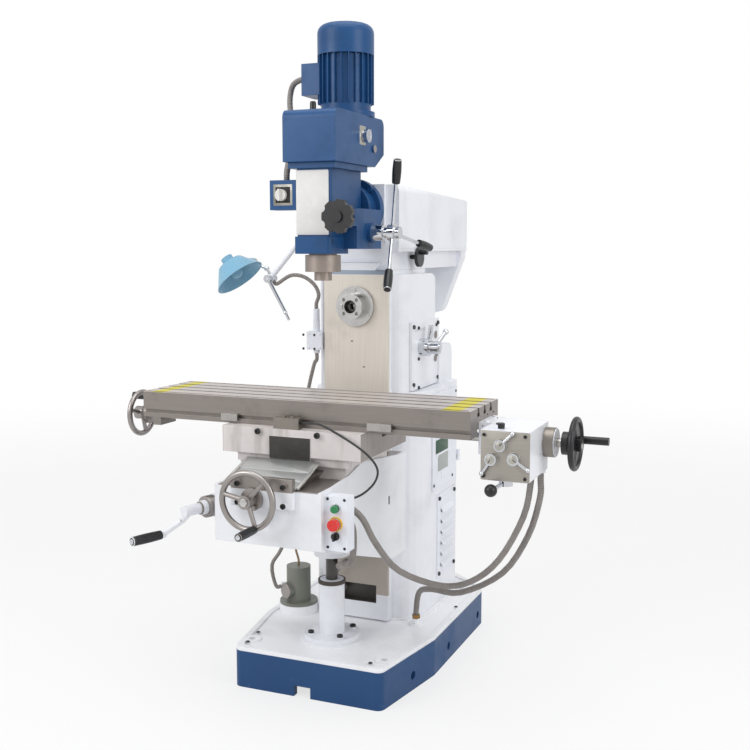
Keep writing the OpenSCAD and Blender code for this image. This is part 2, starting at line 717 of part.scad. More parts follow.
// Coolant pump on its boss, and the valve block at the column's top left
pump_flg_r = 68;
pump_flg_t = 10;
pump_r = 43.5;
pump_h = 135;
pump_disc_r = 28;
pump_disc = [-28, -52, 51];
pump_outlet = [-56, -28, 60];
pump_outlet_r = 13;
module coolant_pump() color(dark_green) at([pump_at.x, pump_at.y, base_h + pump_boss_h]) {
  cylinder(r = pump_flg_r, h = pump_flg_t);
  cylinder(r = pump_r, h = pump_h);
  rod([0, 0, pump_disc.z], pump_disc, pump_disc_r);
  rod([0, 0, pump_outlet.z], pump_outlet, pump_outlet_r);
}
val_d = 40;
val_cap_h = 30;
val_cap_gap = 8;
fitting_r = 11;
fitting_h = 41;
fitting_low = 12;
green_rod_r = 5;
green_rod_h = 117;
module valve_block() {
  z = top_z - val_drop;
  mid = [val_x + val_w / 2, -col_fore - val_d / 2];
  color(white) box([val_x, -col_fore - val_d, z], [val_x + val_w, -col_fore, z + val_h]);
  color(black) bar_z([mid.x, mid.y, z + val_h - cut], val_d / 2 - val_cap_gap,
    val_cap_gap + val_cap_h + cut);
  color(chrome) bar_z([mid.x, mid.y, z + val_h + val_cap_h], fitting_r, fitting_h + val_cap_gap);
  color(chrome) bar_z([mid.x, mid.y, z - fitting_low], fitting_r, fitting_low + cut);
  color(chrome) for (x = [val_x + scr_r + cut, val_x + val_w - scr_r - cut],
    dz = [scr_r + cut, val_h - scr_r - cut])
    bar_y([x, -col_fore - val_d - scr_h, z + dz], scr_r / 2, scr_h + cut);
  color("#58a868") bar_z([val_x + val_w - green_rod_r, mid.y, z + val_h - cut], green_rod_r,
    val_h + green_rod_h);
}

// Knee
knee_slope_rear = 154;
knee_tail = 110;
dove_root = 80;
dove_crown = 100;
dove_h = 25;
dove_fore = 640;
slot_half = 30;
slot_x = -35;
slot_depth = 45;
slot_rear = 110;
cross_z = 30;
cross_scr_r = 12;
brk_x = -110;
brk_w = 203;
brk_t = 19;
brk_low = 55;
brk_high = 36;
brk_bolt_r = 8;
brk_bolts = [26, 14, 42];
cheek_t = 4;
cheek_rises = [[202, 14], [294, 37], [674, -4]];
cross_at = [slot_x, knee_top - cross_z];
module knee_plan(in) polygon([[knee_fore + in, knee_top - in],
  [knee_fore + in, knee_top - knee_fore_h + in * 3 / 4],
  [-knee_slope_rear + in / 4, knee_top - knee_rear_h + in],
  [in > 0 ? -knee_tail : knee_rear, knee_top - knee_rear_h + in],
  [in > 0 ? -knee_tail : knee_rear, knee_top - in]]);
module knee() color(white) difference() {
  boss_z = knee_top - boss_low;
  union() {
    difference() {
      union() {
        side_prism(-knee_half, 2 * knee_half) knee_plan(0);
        fore_prism(-dove_fore, dove_fore - face_y - gap) at([0, knee_top])
          dovetail(dove_root, dove_crown, dove_h);
      }
      side_prism(knee_wall - knee_half, 2 * (knee_half - knee_wall)) knee_plan(knee_wall);
    }
    bar_z([lift.x, lift.y, boss_z], boss_r, boss_h);
    on_crk() bar_y([0, crk_boss_start, 0], crk_boss_r, crk_boss_len);
    box([brk_x, knee_fore - brk_t, knee_top - brk_low],
      [brk_x + brk_w, knee_fore + cut, knee_top + brk_high]);
    for (x = [brk_x + brk_bolts[0], brk_x + brk_w - brk_bolts[0]],
      z = [knee_top + brk_bolts[1], knee_top - brk_bolts[2]])
      bar_y([x, knee_fore - brk_t - scr_h * 2, z], brk_bolt_r, scr_h * 2 + cut);
    side_prism(knee_half - cheek_t, cheek_t) polygon(concat([[knee_fore, knee_top - cut]],
      [for (c = cheek_rises) [knee_fore + c.x, knee_top + c.y]],
      [[knee_rear, knee_top - 2 * knee_wall], [knee_fore, knee_top - 2 * knee_wall]]));
  }
  box([-way_half - gap, fore_y - gap, 0], [way_half + gap, knee_rear + cut, top_z]);
  box([slot_x - slot_half, knee_fore + knee_wall, knee_top - slot_depth],
    [slot_x + slot_half, -slot_rear, knee_top + dove_h + cut]);
  bar_y([cross_at.x, knee_fore - brk_t - cut, cross_at.y], cross_scr_r + fit,
    brk_t + knee_wall + 2 * cut);
  bar_z([lift.x, lift.y, boss_z - cut], clr_r + fit, boss_h + 2 * cut);
  on_crk() bar_y([0, 0, 0], crk_shaft_r + fit, crk_shaft_len);
}

// Push-button box on the knee
pan_fore = 21;
pan_len = 50;
pan_depth = 72;
pan_low = 172;
pan_h = 161;
btn_x = 36;
btn_zs = [45, 90, 126];
stem_r = 8;
stem_len = 20;
stem_room = 6;
start_r = 11;
stop_r = 17;
stop_ring_r = 20;
head_t = 9;
stop_t = 16;
ring_t = 3;
pan_y = knee_fore + pan_fore;
function btn_at(k) = [knee_half + btn_x, pan_y, knee_top - btn_zs[k]];
module pushbutton_box() color(white) difference() {
  union() {
    box([knee_half, pan_y, knee_top - pan_low],
      [knee_half + pan_depth, pan_y + pan_len, knee_top - pan_low + pan_h]);
    bar_y([knee_half + btn_x, pan_y - ring_t, btn_at(1).z], stop_ring_r, ring_t + cut);
  }
  for (k = [0 : 2]) bar_y([knee_half + btn_x, pan_y - ring_t - cut, btn_at(k).z], stem_r + fit,
    stem_len + stem_room + ring_t + cut);
}
// A button's head stands clear of the box by its travel, on a stem
module btn(k, r, t, clear) at(btn_at(k)) {
  bar_y([0, -clear - t, 0], r, t);
  bar_y([0, -clear - cut, 0], stem_r, stem_len + clear);
}
module start_button() color("#2f9d57") btn(0, start_r, head_t, stem_room);
module stop_button() color("#d4262e") btn(1, stop_r, stop_t, stem_room + ring_t);
module selector_knob() color(black) {
  btn(2, start_r, head_t, ring_t);
  at(btn_at(2)) box([-ring_t, -2 * head_t - ring_t, -start_r], [ring_t, -head_t, start_r]);
}

// Cross feed: the screw in the knee and its handwheel
cross_hub_gap = 15;
cross_hub_r = 20;
cross_hub_t = 40;
rim_r = 9;
spoke_r = 7;
spokes = [-72, 48, 168];
wheel_grip_r = 12;
grip_pin_r = 6;
wheel_grip_len = 91;
module cross_screw() color(steel) bar_y([cross_at.x, knee_fore - brk_t - cross_hub_gap - cross_hub_t
  + cut, cross_at.y], cross_scr_r, brk_t + cross_hub_gap + cross_hub_t - knee_fore - slot_rear
  - cross_hub_gap);
// A handwheel on the Y axis: rim, spokes, hub and one grip, with the outside towards -Y
module handwheel(rim, hub_r, hub_t, bore, grip_len, grip_at, angs) {
  rotate([90, 0, 0]) rotate_extrude() at([rim, 0]) circle(r = rim_r);
  difference() {
    union() {
      bar_y([0, -hub_t / 2, 0], hub_r, hub_t);
      for (a = angs) rod([0, 0, 0], rim * [cos(a), 0, sin(a)], spoke_r);
    }
    bar_y([0, -hub_t, 0], bore, 2 * hub_t);
  }
  at(rim * [cos(grip_at), 0, sin(grip_at)]) {
    bar_y([0, -rim_r - gap - grip_len, 0], wheel_grip_r, grip_len);
    bar_y([0, -2 * rim_r, 0], grip_pin_r, 2 * rim_r);
  }
}
module cross_handwheel() color(chrome) at([cross_at.x, knee_fore - brk_t - cross_hub_gap
  - cross_hub_t / 2, cross_at.y]) handwheel(cross_wheel_d / 2 - rim_r, cross_hub_r, cross_hub_t,
    cross_scr_r + fit, wheel_grip_len, spokes[0], spokes);

// Sheet over the cross ways, from the saddle down to the knee's front
cov_x = -150;
cov_w = 255;
cov_top = 55;
cov_low = 6;
sheet_t = 3;
module way_cover() color(grey) side_prism(cov_x, cov_w) polygon([
  [sad_fore - gap, knee_top + cov_top], [sad_fore - gap, knee_top + cov_top - sheet_t],
  [knee_fore + cut + gap, knee_top + cov_low - sheet_t], [knee_fore + cut + gap, knee_top + cov_low]]);

// Saddle
sad_mid_half = 190;
sad_low_half = 172.5;
sad_mid_fore = 12;
sad_low_fore = 30;
sad_step_rear = 10;
sad_low_h = 40;
sad_mid_h = 67;
tab_root = 60;
tab_crown = 75;
tab_tail_h = 20;
channel_half = 20;
scr_drop = 15;
tab_scr_r = 13;
nut_clear = 0.3;
nut_half = 30;
channel_depth = 33;
cross_nut_half = 23;
cross_nut_y = 370;
cross_nut_len = 60;
cross_nut_drop = 55;
name_pl_x = -71;
name_pl_w = 140;
name_pl_low = 57;
name_pl_h = 70;
name_pl_t = 2;
sad_bolts = [-107, 95];
sad_bolt_r = 9;
sad_bolt_drop = 12;
scr_z = tab_z - scr_drop;
module saddle() color(white) difference() {
  nut_y = -cross_nut_y - cross_nut_len / 2;
  union() {
    difference() {
      union() {
        box([-sad_half, sad_fore, sad_z + sad_mid_h],
          [sad_half, sad_rear, sad_top]);
        box([-sad_mid_half, sad_fore + sad_mid_fore, sad_z + sad_low_h],
          [sad_mid_half, sad_rear - sad_step_rear, sad_z + sad_mid_h + cut]);
        box([-sad_mid_half, sad_fore + sad_low_fore, sad_z],
          [sad_low_half, sad_rear - sad_step_rear, sad_z + sad_low_h + cut]);
        at([0, tab_mid, sad_top]) side_prism(-sad_half, 2 * sad_half)
          dovetail(tab_root, tab_crown, tab_tail_h);
        for (x = sad_bolts) bar_y([x, sad_fore - scr_h * 2, sad_top - sad_bolt_drop],
          sad_bolt_r, scr_h * 2 + cut);
        color(black) box([name_pl_x, sad_fore - name_pl_t, sad_z + name_pl_low],
          [name_pl_x + name_pl_w, sad_fore + cut,
          sad_z + name_pl_low + name_pl_h]);
      }
      fore_prism(sad_fore - cut, sad_len + 2 * cut) at([0, knee_top])
        dovetail(dove_root, dove_crown, dove_h, gap);
      box([-sad_half - cut, tab_mid - channel_half, sad_top - channel_depth],
        [sad_half + cut, tab_mid + channel_half, sad_top + tab_tail_h + cut]);
    }
    box([-nut_half, tab_mid - channel_half - cut, sad_top - channel_depth - cut],
      [nut_half, tab_mid + channel_half + cut, sad_top]);
    box([slot_x - cross_nut_half, nut_y, knee_top - cross_nut_drop],
      [slot_x + cross_nut_half, nut_y + cross_nut_len, knee_top + dove_h + gap + cut]);
  }
  bar_x([-sad_half, tab_mid, scr_z], tab_scr_r + nut_clear, 2 * sad_half);
  bar_y([cross_at.x, nut_y - cut, cross_at.y], cross_scr_r + nut_clear, cross_nut_len + 2 * cut);
}

// Limit switch on the saddle, ahead of the table's trip dogs
sw_x = -58;
sw_w = 86;
sw_fore = 2;
sw_d = 26;
sw_h = 34;
module limit_switch() color(chrome) {
  box([sw_x, sad_fore + sw_fore, sad_top],
    [sw_x + sw_w, sad_fore + sw_fore + sw_d, sad_top + sw_h]);
  for (k = [1, 2]) bar_z([sw_x + k * sw_w / 3, sad_fore + sw_fore + sw_d / 2,
    sad_top + sw_h - cut], scr_r, scr_h * 2);
}

// Table with its T-slots, and its dogs
slot_head_w = 24;
slot_head_h = 11;
slot_neck_h = 15;
slots = [-1, 0, 1];
fore_slot_low = 15;
fore_slot_h = 11;
fore_slot_d = 10;
end_t = 30;
end_half = 45;
end_low = 45;
end_high = 35;
gut_w = 12;
gut_in = 8;
gut_d = 8;
tab_scr_bore = tab_scr_r + fit;
module table() color(steel) difference() {
  union() {
    box([-tab_end, tab_fore, tab_z], [tab_end, tab_fore + tab_w, tab_top]);
    box([-tab_end - end_t, tab_mid - end_half, tab_z - end_low],
      [cut - tab_end, tab_mid + end_half, tab_z + end_high]);
  }
  at([0, tab_mid, tab_z - gap]) side_prism(-tab_end - cut + end_t / 2, tab_len)
    dovetail(tab_root, tab_crown, tab_tail_h, gap);
  at([0, tab_mid, tab_z - gap]) side_prism(0, tab_end + cut)
    dovetail(tab_root, tab_crown, tab_tail_h, gap);
  for (k = slots) at([0, tab_mid + k * slot_pitch, tab_top]) {
    box([-tab_end - cut, -slot_w / 2, -slot_neck_h], [tab_end + cut, slot_w / 2, cut]);
    box([-tab_end - cut, -slot_head_w / 2, -slot_neck_h - slot_head_h],
      [tab_end + cut, slot_head_w / 2, -slot_neck_h]);
  }
  for (y = [tab_fore + gut_in, tab_fore + tab_w - gut_in - gut_w])
    box([gut_in - tab_end, y, tab_top - gut_d],
      [tab_end - gut_in, y + gut_w, tab_top + cut]);
  box([-tab_end - cut, tab_fore - cut, tab_z + fore_slot_low],
    [tab_end + cut, tab_fore + fore_slot_d, tab_z + fore_slot_low + fore_slot_h]);
  bar_x([-tab_end - end_t - cut, tab_mid, scr_z], tab_scr_bore, end_t + 2 * cut);
}
dog_t = 13;
dog_low = 8;
dog_h = 23;
dogs = [[-260, 58], [241, 78]];
dog_key = 1.5;
module trip_dogs() color(chrome) for (d = dogs) {
  box([d[0], tab_fore - dog_t, tab_z + dog_low], [d[0] + d[1], tab_fore, tab_z + dog_low + dog_h]);
  box([d[0] + dog_t, tab_fore - cut, tab_z + fore_slot_low + dog_key],
    [d[0] + d[1] - dog_t, tab_fore + fore_slot_d - dog_key,
    tab_z + fore_slot_low + fore_slot_h - dog_key]);
}

// Feed gearbox at the table's right end
arm_t = 40;
arm_half = 60;
arm_low = 55;
gear_fore = 560;
gear_rear = 330;
gear_x = 41;
gear_len = 144;
gear_low = 102;
gear_h = 143;
gear_r = 12;
foot_bolt_r = 8;
stub_r = 41.5;
stub_t = 35;
filler_r = 12;
filler_h = 14;
dial_bore_r = 6;
dial_bore_d = 24;
knob_r = 17;
knob_t = 14;
knob_lev = 50;
knob_lev_r = 5;
dial_spots = [[62, 1], [36, -40], [101, -35]];
dial_angs = [45, -122, -34];
gear_pl_t = 3;
gear_pl_in = 8;
gear_pan_z = 40;
box_x = tab_end + gear_x;
box_z = tab_z - gear_low;
lev_spot = [67, 40];
function dial_at(k) = [tab_end + gear_x + dial_spots[k].x, -gear_fore - gear_pl_t,
  tab_z + dial_spots[k].y];
module feed_gearbox() {
  color(white) difference() {
    union() {
      post([box_x, -gear_fore, box_z], [box_x + gear_len, -gear_rear, box_z + gear_h], gear_r);
      box([tab_end, tab_mid - arm_half, tab_z - arm_low],
        [box_x + cut, tab_mid + arm_half, tab_z + gear_h - gear_low]);
      bar_x([box_x + gear_len - cut, tab_mid, scr_z], stub_r, stub_t + cut);
      for (y = [tab_mid - arm_half + scr_in, tab_mid + arm_half - scr_in])
        bar_z([tab_end + arm_t / 2, y, tab_z + gear_h - gear_low - cut], foot_bolt_r,
          2 * scr_h);
      bar_z([box_x + gear_len / 3, -gear_fore + 3 * filler_r, box_z + gear_h - cut], filler_r, filler_h);
      box([box_x + gear_pl_in, -gear_fore - gear_pl_t, tab_z - gear_pan_z - arm_t],
        [box_x + gear_len - gear_pl_in, cut - gear_fore, box_z + gear_h - gear_pl_in]);
    }
    bar_x([tab_end - cut, tab_mid, scr_z], tab_scr_bore,
      gear_x + gear_len + stub_t + 2 * cut);
    for (k = [0 : 2]) bar_y(dial_at(k) - [0, cut, 0], dial_bore_r + fit, dial_bore_d);
    bar_z([box_x + lev_spot.x, -gear_fore + lev_spot.y, box_z - cut], dial_bore_r + fit, dial_bore_d);
  }
}
module feed_dial(k) at(dial_at(k)) {
  color(black) bar_y([0, -knob_t - gap, 0], knob_r, knob_t);
  color(black) bar_y([0, -gap - cut, 0], dial_bore_r, dial_bore_d - 2 * cut);
  color(chrome) rotate([0, -dial_angs[k], 0]) {
    bar_x([0, -knob_t / 2 - gap, 0], knob_lev_r, knob_lev);
    at([knob_lev, -knob_t / 2 - gap, 0]) sphere(r = knob_t / 2);
  }
}
module feed_dial_1() feed_dial(0);
module feed_dial_2() feed_dial(1);
module feed_dial_3() feed_dial(2);
feed_hub_r = 20;
feed_hub_t = 20;
feed_lev_r = 6;
feed_ball_r = 18;
feed_ball = [-28, -55, -26];
module feed_lever() at([box_x + lev_spot.x, -gear_fore + lev_spot.y, box_z]) {
  color(chrome) bar_z([0, 0, -gap - feed_hub_t], feed_hub_r, feed_hub_t);
  color(chrome) bar_z([0, 0, -gap - cut], dial_bore_r, dial_bore_d - 2 * cut);
  color(chrome) rod([0, 0, -gap - feed_hub_t / 2], feed_ball, feed_lev_r);
  color(black) at(feed_ball) sphere(r = feed_ball_r);
}

// Table screw, and a handwheel on each end
left_wheel_x = 75;
right_wheel_x = 90;
wheel_hub_r = 22;
wheel_hub_t = 40;
wheel_dial_r = 34;
wheel_dial_t = 18;
left_grip_len = 60;
right_grip_len = 74;
left_angs = [135, 15, -105];
right_angs = [0, 120, 240];
scr_left = -tab_end - end_t - left_wheel_x;
scr_right = box_x + gear_len + right_wheel_x;
module table_screw() color(steel) bar_x([scr_left - wheel_hub_t / 2, tab_mid, scr_z], tab_scr_r,
  scr_right - scr_left + wheel_hub_t);
module left_handwheel() color(chrome) at([scr_left, tab_mid, scr_z]) rotate(-90) {
  handwheel(wheel_d / 2 - rim_r, wheel_hub_r, wheel_hub_t, tab_scr_r + fit, left_grip_len,
    left_angs[0], left_angs);
  difference() {
    bar_y([0, wheel_hub_t / 2 - cut, 0], wheel_dial_r, wheel_dial_t);
    bar_y([0, 0, 0], tab_scr_r + fit, wheel_dial_t + wheel_hub_t);
  }
}
module right_handwheel() color(black) at([scr_right, tab_mid, scr_z]) rotate(90) {
  handwheel(wheel_d / 2 - rim_r, wheel_hub_r, wheel_hub_t, tab_scr_r + fit, right_grip_len,
    right_angs[0], right_angs);
  difference() {
    bar_y([0, wheel_hub_t / 2 - cut, 0], wheel_dial_r, wheel_dial_t);
    bar_y([0, 0, 0], tab_scr_r + fit, wheel_dial_t + wheel_hub_t);
  }
}

// Ram, its cover, the arbor support at the rear and the handwheel that moves it
ram_setback = 20;
flg_t = 10;
block_half = 100;
block_len = 100;
block_clear = 10;
face_half = 105;
face_low = 105;
face_high = 85;
spigot_r = 30;
spigot_len = 48;
pnn_r = 17;
pnn_x = 30;
pnn_w = 40;
pnn_room = 5;
pnn_y = 143;
pnn_z = 43;
pnn_shaft_r = 8;
ram_y = fore_y + ram_setback;
ram_rear = ram_y + ram_len;
flg_z = ram_z + ram_h;
cov_z = flg_z + flg_t;
module ram() color(white) difference() {
  union() {
    box([-ram_half, ram_y, ram_z], [ram_half, ram_rear, flg_z + cut]);
    box([-cov_half, ram_y, flg_z], [cov_half, ram_rear + sup_t, cov_z]);
    box([-block_half, ram_y, cov_z - cut], [block_half, ram_y + block_len,
      cov_z + cov_h - block_clear]);
    box([-face_half, fore_y, tilt_z - face_low], [face_half, ram_y + cut, tilt_z + face_high]);
  }
  fore_prism(ram_y - cut, ram_len + 2 * cut) at([0, top_z + way_pl_t])
    dovetail(ram_root, ram_crown, ram_tail_h, gap);
  bar_y([0, fore_y - cut, tilt_z], spigot_r + fit, spigot_len + 2 * cut);
  box([pnn_x - pnn_room, pnn_y - pnn_r - pnn_room, ram_z],
    [pnn_x + pnn_w + pnn_room, pnn_y + pnn_r + pnn_room,
    ram_z + pnn_z + pnn_r + cut]);
  bar_x([pnn_x, pnn_y, ram_z + pnn_z], pnn_shaft_r + fit, ram_half);
}

// Lamp bracket on the cover: a plate, two rods and the ball where lamp and nozzle hang
cov_set = 2;
cov_t = 4;
cov_r = 24;
lamp_pl = [8, 34, 60];
lamp_pl_y = -37;
lamp_pl_z = 60;
lamp_bend = [-233, -60];
lamp_bend_z = 3;
lamp_hub = [-330, -60];
lamp_hub_z = -105;
lamp_rod_r = 6;
lamp_tube_r = 9;
lamp_hub_r = 16;
lamp_hub_w = 24;
lamp_lug_r = 14;
lamp_lug_w = 14;
lamp_pin_r = 4;
hub_z = cov_z + lamp_hub_z;
module ram_cover() {
  y = ram_y + cov_set;
  length = ram_rear + sup_t - y;
  color(white) difference() {
    cover_shape(0, y, length);
    cover_shape(cov_t, y, length);
    box([-block_half - gap, y - cut, cov_z - cut],
      [block_half + gap, y + cov_t + cut, cov_z + cov_h - block_clear + gap]);
  }
  bend = [lamp_bend.x, lamp_bend.y, cov_z + lamp_bend_z];
  color(white) at([-cov_half - lamp_pl.x, lamp_pl_y, cov_z + lamp_pl_z])
    cube(lamp_pl + [cut, 0, 0]);
  color(chrome) {
    rod([-cov_half - lamp_pl.x + cut, lamp_pl_y + lamp_pl.y / 2,
      cov_z + lamp_pl_z + lamp_pl.z / 2], bend, lamp_rod_r);
    at(bend) sphere(r = lamp_tube_r);
    rod(bend, [lamp_hub.x, lamp_hub.y, hub_z], lamp_tube_r);
    bar_y([lamp_hub.x, lamp_hub.y - lamp_hub_w / 2, hub_z], lamp_hub_r, lamp_hub_w);
    bar_y([lamp_hub.x, lamp_hub.y - lamp_hub_w / 2 - lamp_lug_w, hub_z], lamp_pin_r,
      lamp_hub_w + 2 * lamp_lug_w);
  }
}
// The cover's solid, in from its outside by t
module cover_shape(t, y, length) {
  open = t > 0 ? cut : 0;
  intersection() {
    side_prism(-cov_half + t, 2 * (cov_half - t)) polygon([[y + t, cov_z - open],
      [y + length - t, cov_z - open], [y + length - t, cov_z + cov_h - cov_fall - t],
      [y + t, cov_z + cov_h - t]]);
    fore_prism(y, length) polygon(rnd([[cov_half - t, cov_z - open, 0],
      [cov_half - t, cov_z + cov_h - t, cov_r - t],
      [t - cov_half, cov_z + cov_h - t, cov_r - t], [t - cov_half, cov_z - open, 0]]));
  }
}
sup_half = 145;
sup_shoulder = 25;
sup_foot = 60;
sup_reach = 62;
sup_r = 40;
bush_r = 44;
bush_out = 4;
slit_half = 1.5;
module arbor_support() color(white) difference() {
  union() {
    fore_prism(ram_rear, sup_t) polygon(rnd([[sup_half, flg_z, 0],
      [sup_half, flg_z - sup_shoulder, sup_shoulder / 2],
      [sup_foot, spin_z - sup_reach, sup_r],
      [-sup_foot, spin_z - sup_reach, sup_r],
      [-sup_half, flg_z - sup_shoulder, sup_shoulder / 2],
      [-sup_half, flg_z, 0]]));
    color(black) bar_y([0, ram_rear - bush_out, spin_z], bush_r, sup_t + 2 * bush_out);
  }
  bar_y([0, 0, spin_z], arbor_d / 2, 2 * ram_rear);
  box([-slit_half, ram_rear - bush_out - cut, 0],
    [slit_half, ram_rear + sup_t + bush_out + cut, spin_z]);
}
ram_wheel_r = 35;
ram_wheel_t = 12;
ram_knob_r = 9;
ram_knob_len = 26;
ram_wheel_x = cov_half + gap;
module ram_handwheel() at([0, pnn_y, ram_z + pnn_z]) {
  color(black) bar_x([ram_wheel_x, 0, 0], ram_wheel_r, ram_wheel_t);
  color(black) bar_x([ram_wheel_x + ram_wheel_t - cut, 0, ram_wheel_r - 2 * ram_knob_r], ram_knob_r,
    ram_knob_len);
  color(steel) bar_x([pnn_x - pnn_room + gap, 0, 0], pnn_shaft_r, ram_wheel_x - pnn_x
    + pnn_room);
  color(steel) bar_x([pnn_x, 0, 0], pnn_r, pnn_w);
}

// Lamp arm, shade and coolant nozzle, each hung on a pin
arm_bend = [-400, 42];
arm_bend_z = 32;
arm_ball_r = 10;
shade_pin = [-455, 57];
shade_back = [-493, 51.5];
shade_turn = 141.7;
shade_r = 93;
shade_back_r = 49;
shade_h = 64;
shade_t = 2;
shade_boss_r = 22;
shade_boss_h = 26;
shade_lug_y = 48;
shade_lug_w = 48;
shade_pin_in = 9;
bulb_r = 26;
bulb_neck = 34;
module lamp_arm() color(chrome) {
  y = lamp_hub.y + lamp_hub_w / 2 + gap;
  end_y = lamp_hub.y + shade_lug_y + shade_lug_w + gap;
  difference() {
    union() {
      bar_y([lamp_hub.x, y, hub_z], lamp_lug_r, lamp_lug_w);
      rod([lamp_hub.x, y + lamp_lug_w / 2, hub_z], [arm_bend.x, arm_bend.y, hub_z + arm_bend_z],
        lamp_rod_r);
    }
    bar_y([lamp_hub.x, y - cut, hub_z], lamp_pin_r + fit, lamp_lug_w + 2 * cut);
  }
  at([arm_bend.x, arm_bend.y, hub_z + arm_bend_z]) sphere(r = arm_ball_r);
  rod([arm_bend.x, arm_bend.y, hub_z + arm_bend_z],
    [shade_pin.x, end_y + lamp_lug_w / 2, hub_z + shade_pin.y], lamp_rod_r);
  bar_y([shade_pin.x, end_y, hub_z + shade_pin.y], lamp_lug_r, lamp_lug_w);
  bar_y([shade_pin.x, end_y - shade_pin_in, hub_z + shade_pin.y], lamp_pin_r, shade_pin_in + cut);
}
module lamp_shade() color(lamp_blue) {
  difference() {
    union() {
      at([shade_back.x, lamp_hub.y, hub_z + shade_back.y]) rotate([0, shade_turn, 0]) {
        cylinder(r1 = shade_back_r, r2 = shade_r, h = shade_h);
        at([0, 0, -shade_boss_h]) cylinder(r = shade_boss_r, h = shade_boss_h + cut);
      }
      bar_y([shade_pin.x, lamp_hub.y + shade_lug_y, hub_z + shade_pin.y], lamp_lug_r, shade_lug_w);
    }
    at([shade_back.x, lamp_hub.y, hub_z + shade_back.y]) rotate([0, shade_turn, 0])
      at([0, 0, shade_t]) cylinder(r1 = shade_back_r - shade_t, r2 = shade_r - shade_t,
        h = shade_h - shade_t + gap);
    bar_y([shade_pin.x, lamp_hub.y + shade_lug_y + shade_lug_w - shade_pin_in - cut,
      hub_z + shade_pin.y], lamp_pin_r + fit, shade_pin_in + 2 * cut);
  }
  color(white) at([shade_back.x, lamp_hub.y, hub_z + shade_back.y]) rotate([0, shade_turn, 0]) {
    cylinder(r = bulb_r / 2, h = bulb_neck);
    at([0, 0, bulb_neck]) sphere(r = bulb_r);
  }
}
noz_elbow = [-262, -118];
noz_tip = [-248, -144];
noz_r = 6.5;
noz_tip_r = 5;
module coolant_nozzle() color(chrome) {
  y = lamp_hub.y - lamp_hub_w / 2 - gap - lamp_lug_w;
  mid = y + lamp_lug_w / 2;
  difference() {
    union() {
      bar_y([lamp_hub.x, y, hub_z], lamp_lug_r, lamp_lug_w);
      rod([lamp_hub.x, mid, hub_z], [noz_elbow.x, mid, hub_z + noz_elbow.y], noz_r);
    }
    bar_y([lamp_hub.x, y - cut, hub_z], lamp_pin_r + fit, lamp_lug_w + 2 * cut);
  }
  at([noz_elbow.x, mid, hub_z + noz_elbow.y]) sphere(r = noz_r + cut);
  rod([noz_elbow.x, mid, hub_z + noz_elbow.y], [noz_tip.x, mid, hub_z + noz_tip.y],
    noz_tip_r);
}

// Head body, with the quill's bore, the feed housings and the switch box
head_fore = 69;
head_back = 84;
head_low = 92;
clr_half = 63;
clr_fore = 81;
clr_back = 65;
clr_low = 145;
neck_r = 85;
neck_len = 54;
disc_r = 104;
disc_t = 30;
feed_w = 50;
feed_fore = 19;
feed_back = 100;
feed_low = 130;
feed_h = 128;
worm_fore = 93;
worm_low = 58;
worm_h = 54;
lev_boss_r = 32;
lev_boss_t = 14;
quill_axis = [133, -78];
worm_x = 45;
worm_z = -31;
top_flg_half = 80;
top_flg_t = 18;
quill_top = 85;
spin_shaft_r = 22;
spin_tail_r = 20;
hub_bore_r = 34;
hub_seat = 17;
sw_box_w = 92;
sw_box_d = 58;
sw_box_low = -8;
sw_box_h = 93;
sw_from_edge = 42;
sw_shaft_r = 6;
sw_shaft_d = 26;
disc_nut_r = 9;
head_top = tilt_z - head_low + head_h;
case_z = head_top + top_flg_t;
lev_axis = [fore_y - quill_axis.x, tilt_z + quill_axis.y];
worm_at = [head_half + worm_x, tilt_z + worm_z];
sw_at = [sw_from_edge - head_half - sw_box_w, tilt_z + sw_box_low + sw_box_h / 2];
module head_body() color(blue) difference() {
  union() {
    post([-head_half, head_y - head_fore, tilt_z - head_low], [head_half, fore_y - head_back, head_top],
      gear_r);
    post([-clr_half, head_y - clr_fore, tilt_z - clr_low],
      [clr_half, head_y + clr_back, tilt_z - head_low + cut], gear_r);
    bar_y([0, fore_y - disc_t - neck_len, tilt_z], neck_r, neck_len + cut);
    bar_y([0, fore_y - disc_t, tilt_z], disc_r, disc_t - gap);
    bar_y([0, fore_y - gap - cut, tilt_z], spigot_r, spigot_len);
    box([0, head_y + feed_fore, tilt_z - feed_low],
      [head_half + feed_w, -feed_back, tilt_z - feed_low + feed_h]);
    box([head_half - cut, head_y - worm_fore, tilt_z - worm_low],
      [head_half + feed_w + gap, head_y + feed_fore + cut, tilt_z - worm_low + worm_h]);
    bar_x([head_half, lev_axis.x, lev_axis.y], lev_boss_r, feed_w + lev_boss_t);
    box([-top_flg_half, head_y - clr_fore, head_top - cut],
      [top_flg_half, fore_y - neck_r, case_z]);
    box([-head_half - sw_box_w, head_y - head_fore, tilt_z + sw_box_low],
      [cut - head_half, head_y - head_fore + sw_box_d, tilt_z + sw_box_low + sw_box_h]);
    for (a = [-45, 45]) rotate_at(tilt_z, a) for (k = [-1, 1])
      bar_y([k * (neck_r + disc_nut_r), fore_y - disc_t - disc_nut_r, 0], disc_nut_r, disc_nut_r + cut);
  }
  bar_z([0, head_y, 0], quill_d / 2 + fit, tilt_z + quill_top + 2 * gear_r);
  bar_z([0, head_y, tilt_z], spin_shaft_r + 2 * fit + gap, case_z);
  bar_z([0, head_y, case_z - hub_seat], hub_bore_r + fit, hub_seat + cut);
  bar_x([head_half, lev_axis.x, lev_axis.y], pnn_shaft + fit, feed_w + lev_boss_t + cut);
  bar_y([worm_at.x, head_y - worm_fore - cut, worm_at.y], worm_shaft_r + fit, worm_fore + cut);
  bar_y([sw_at.x, head_y - head_fore - cut, sw_at.y], sw_shaft_r + fit, sw_shaft_d);
}

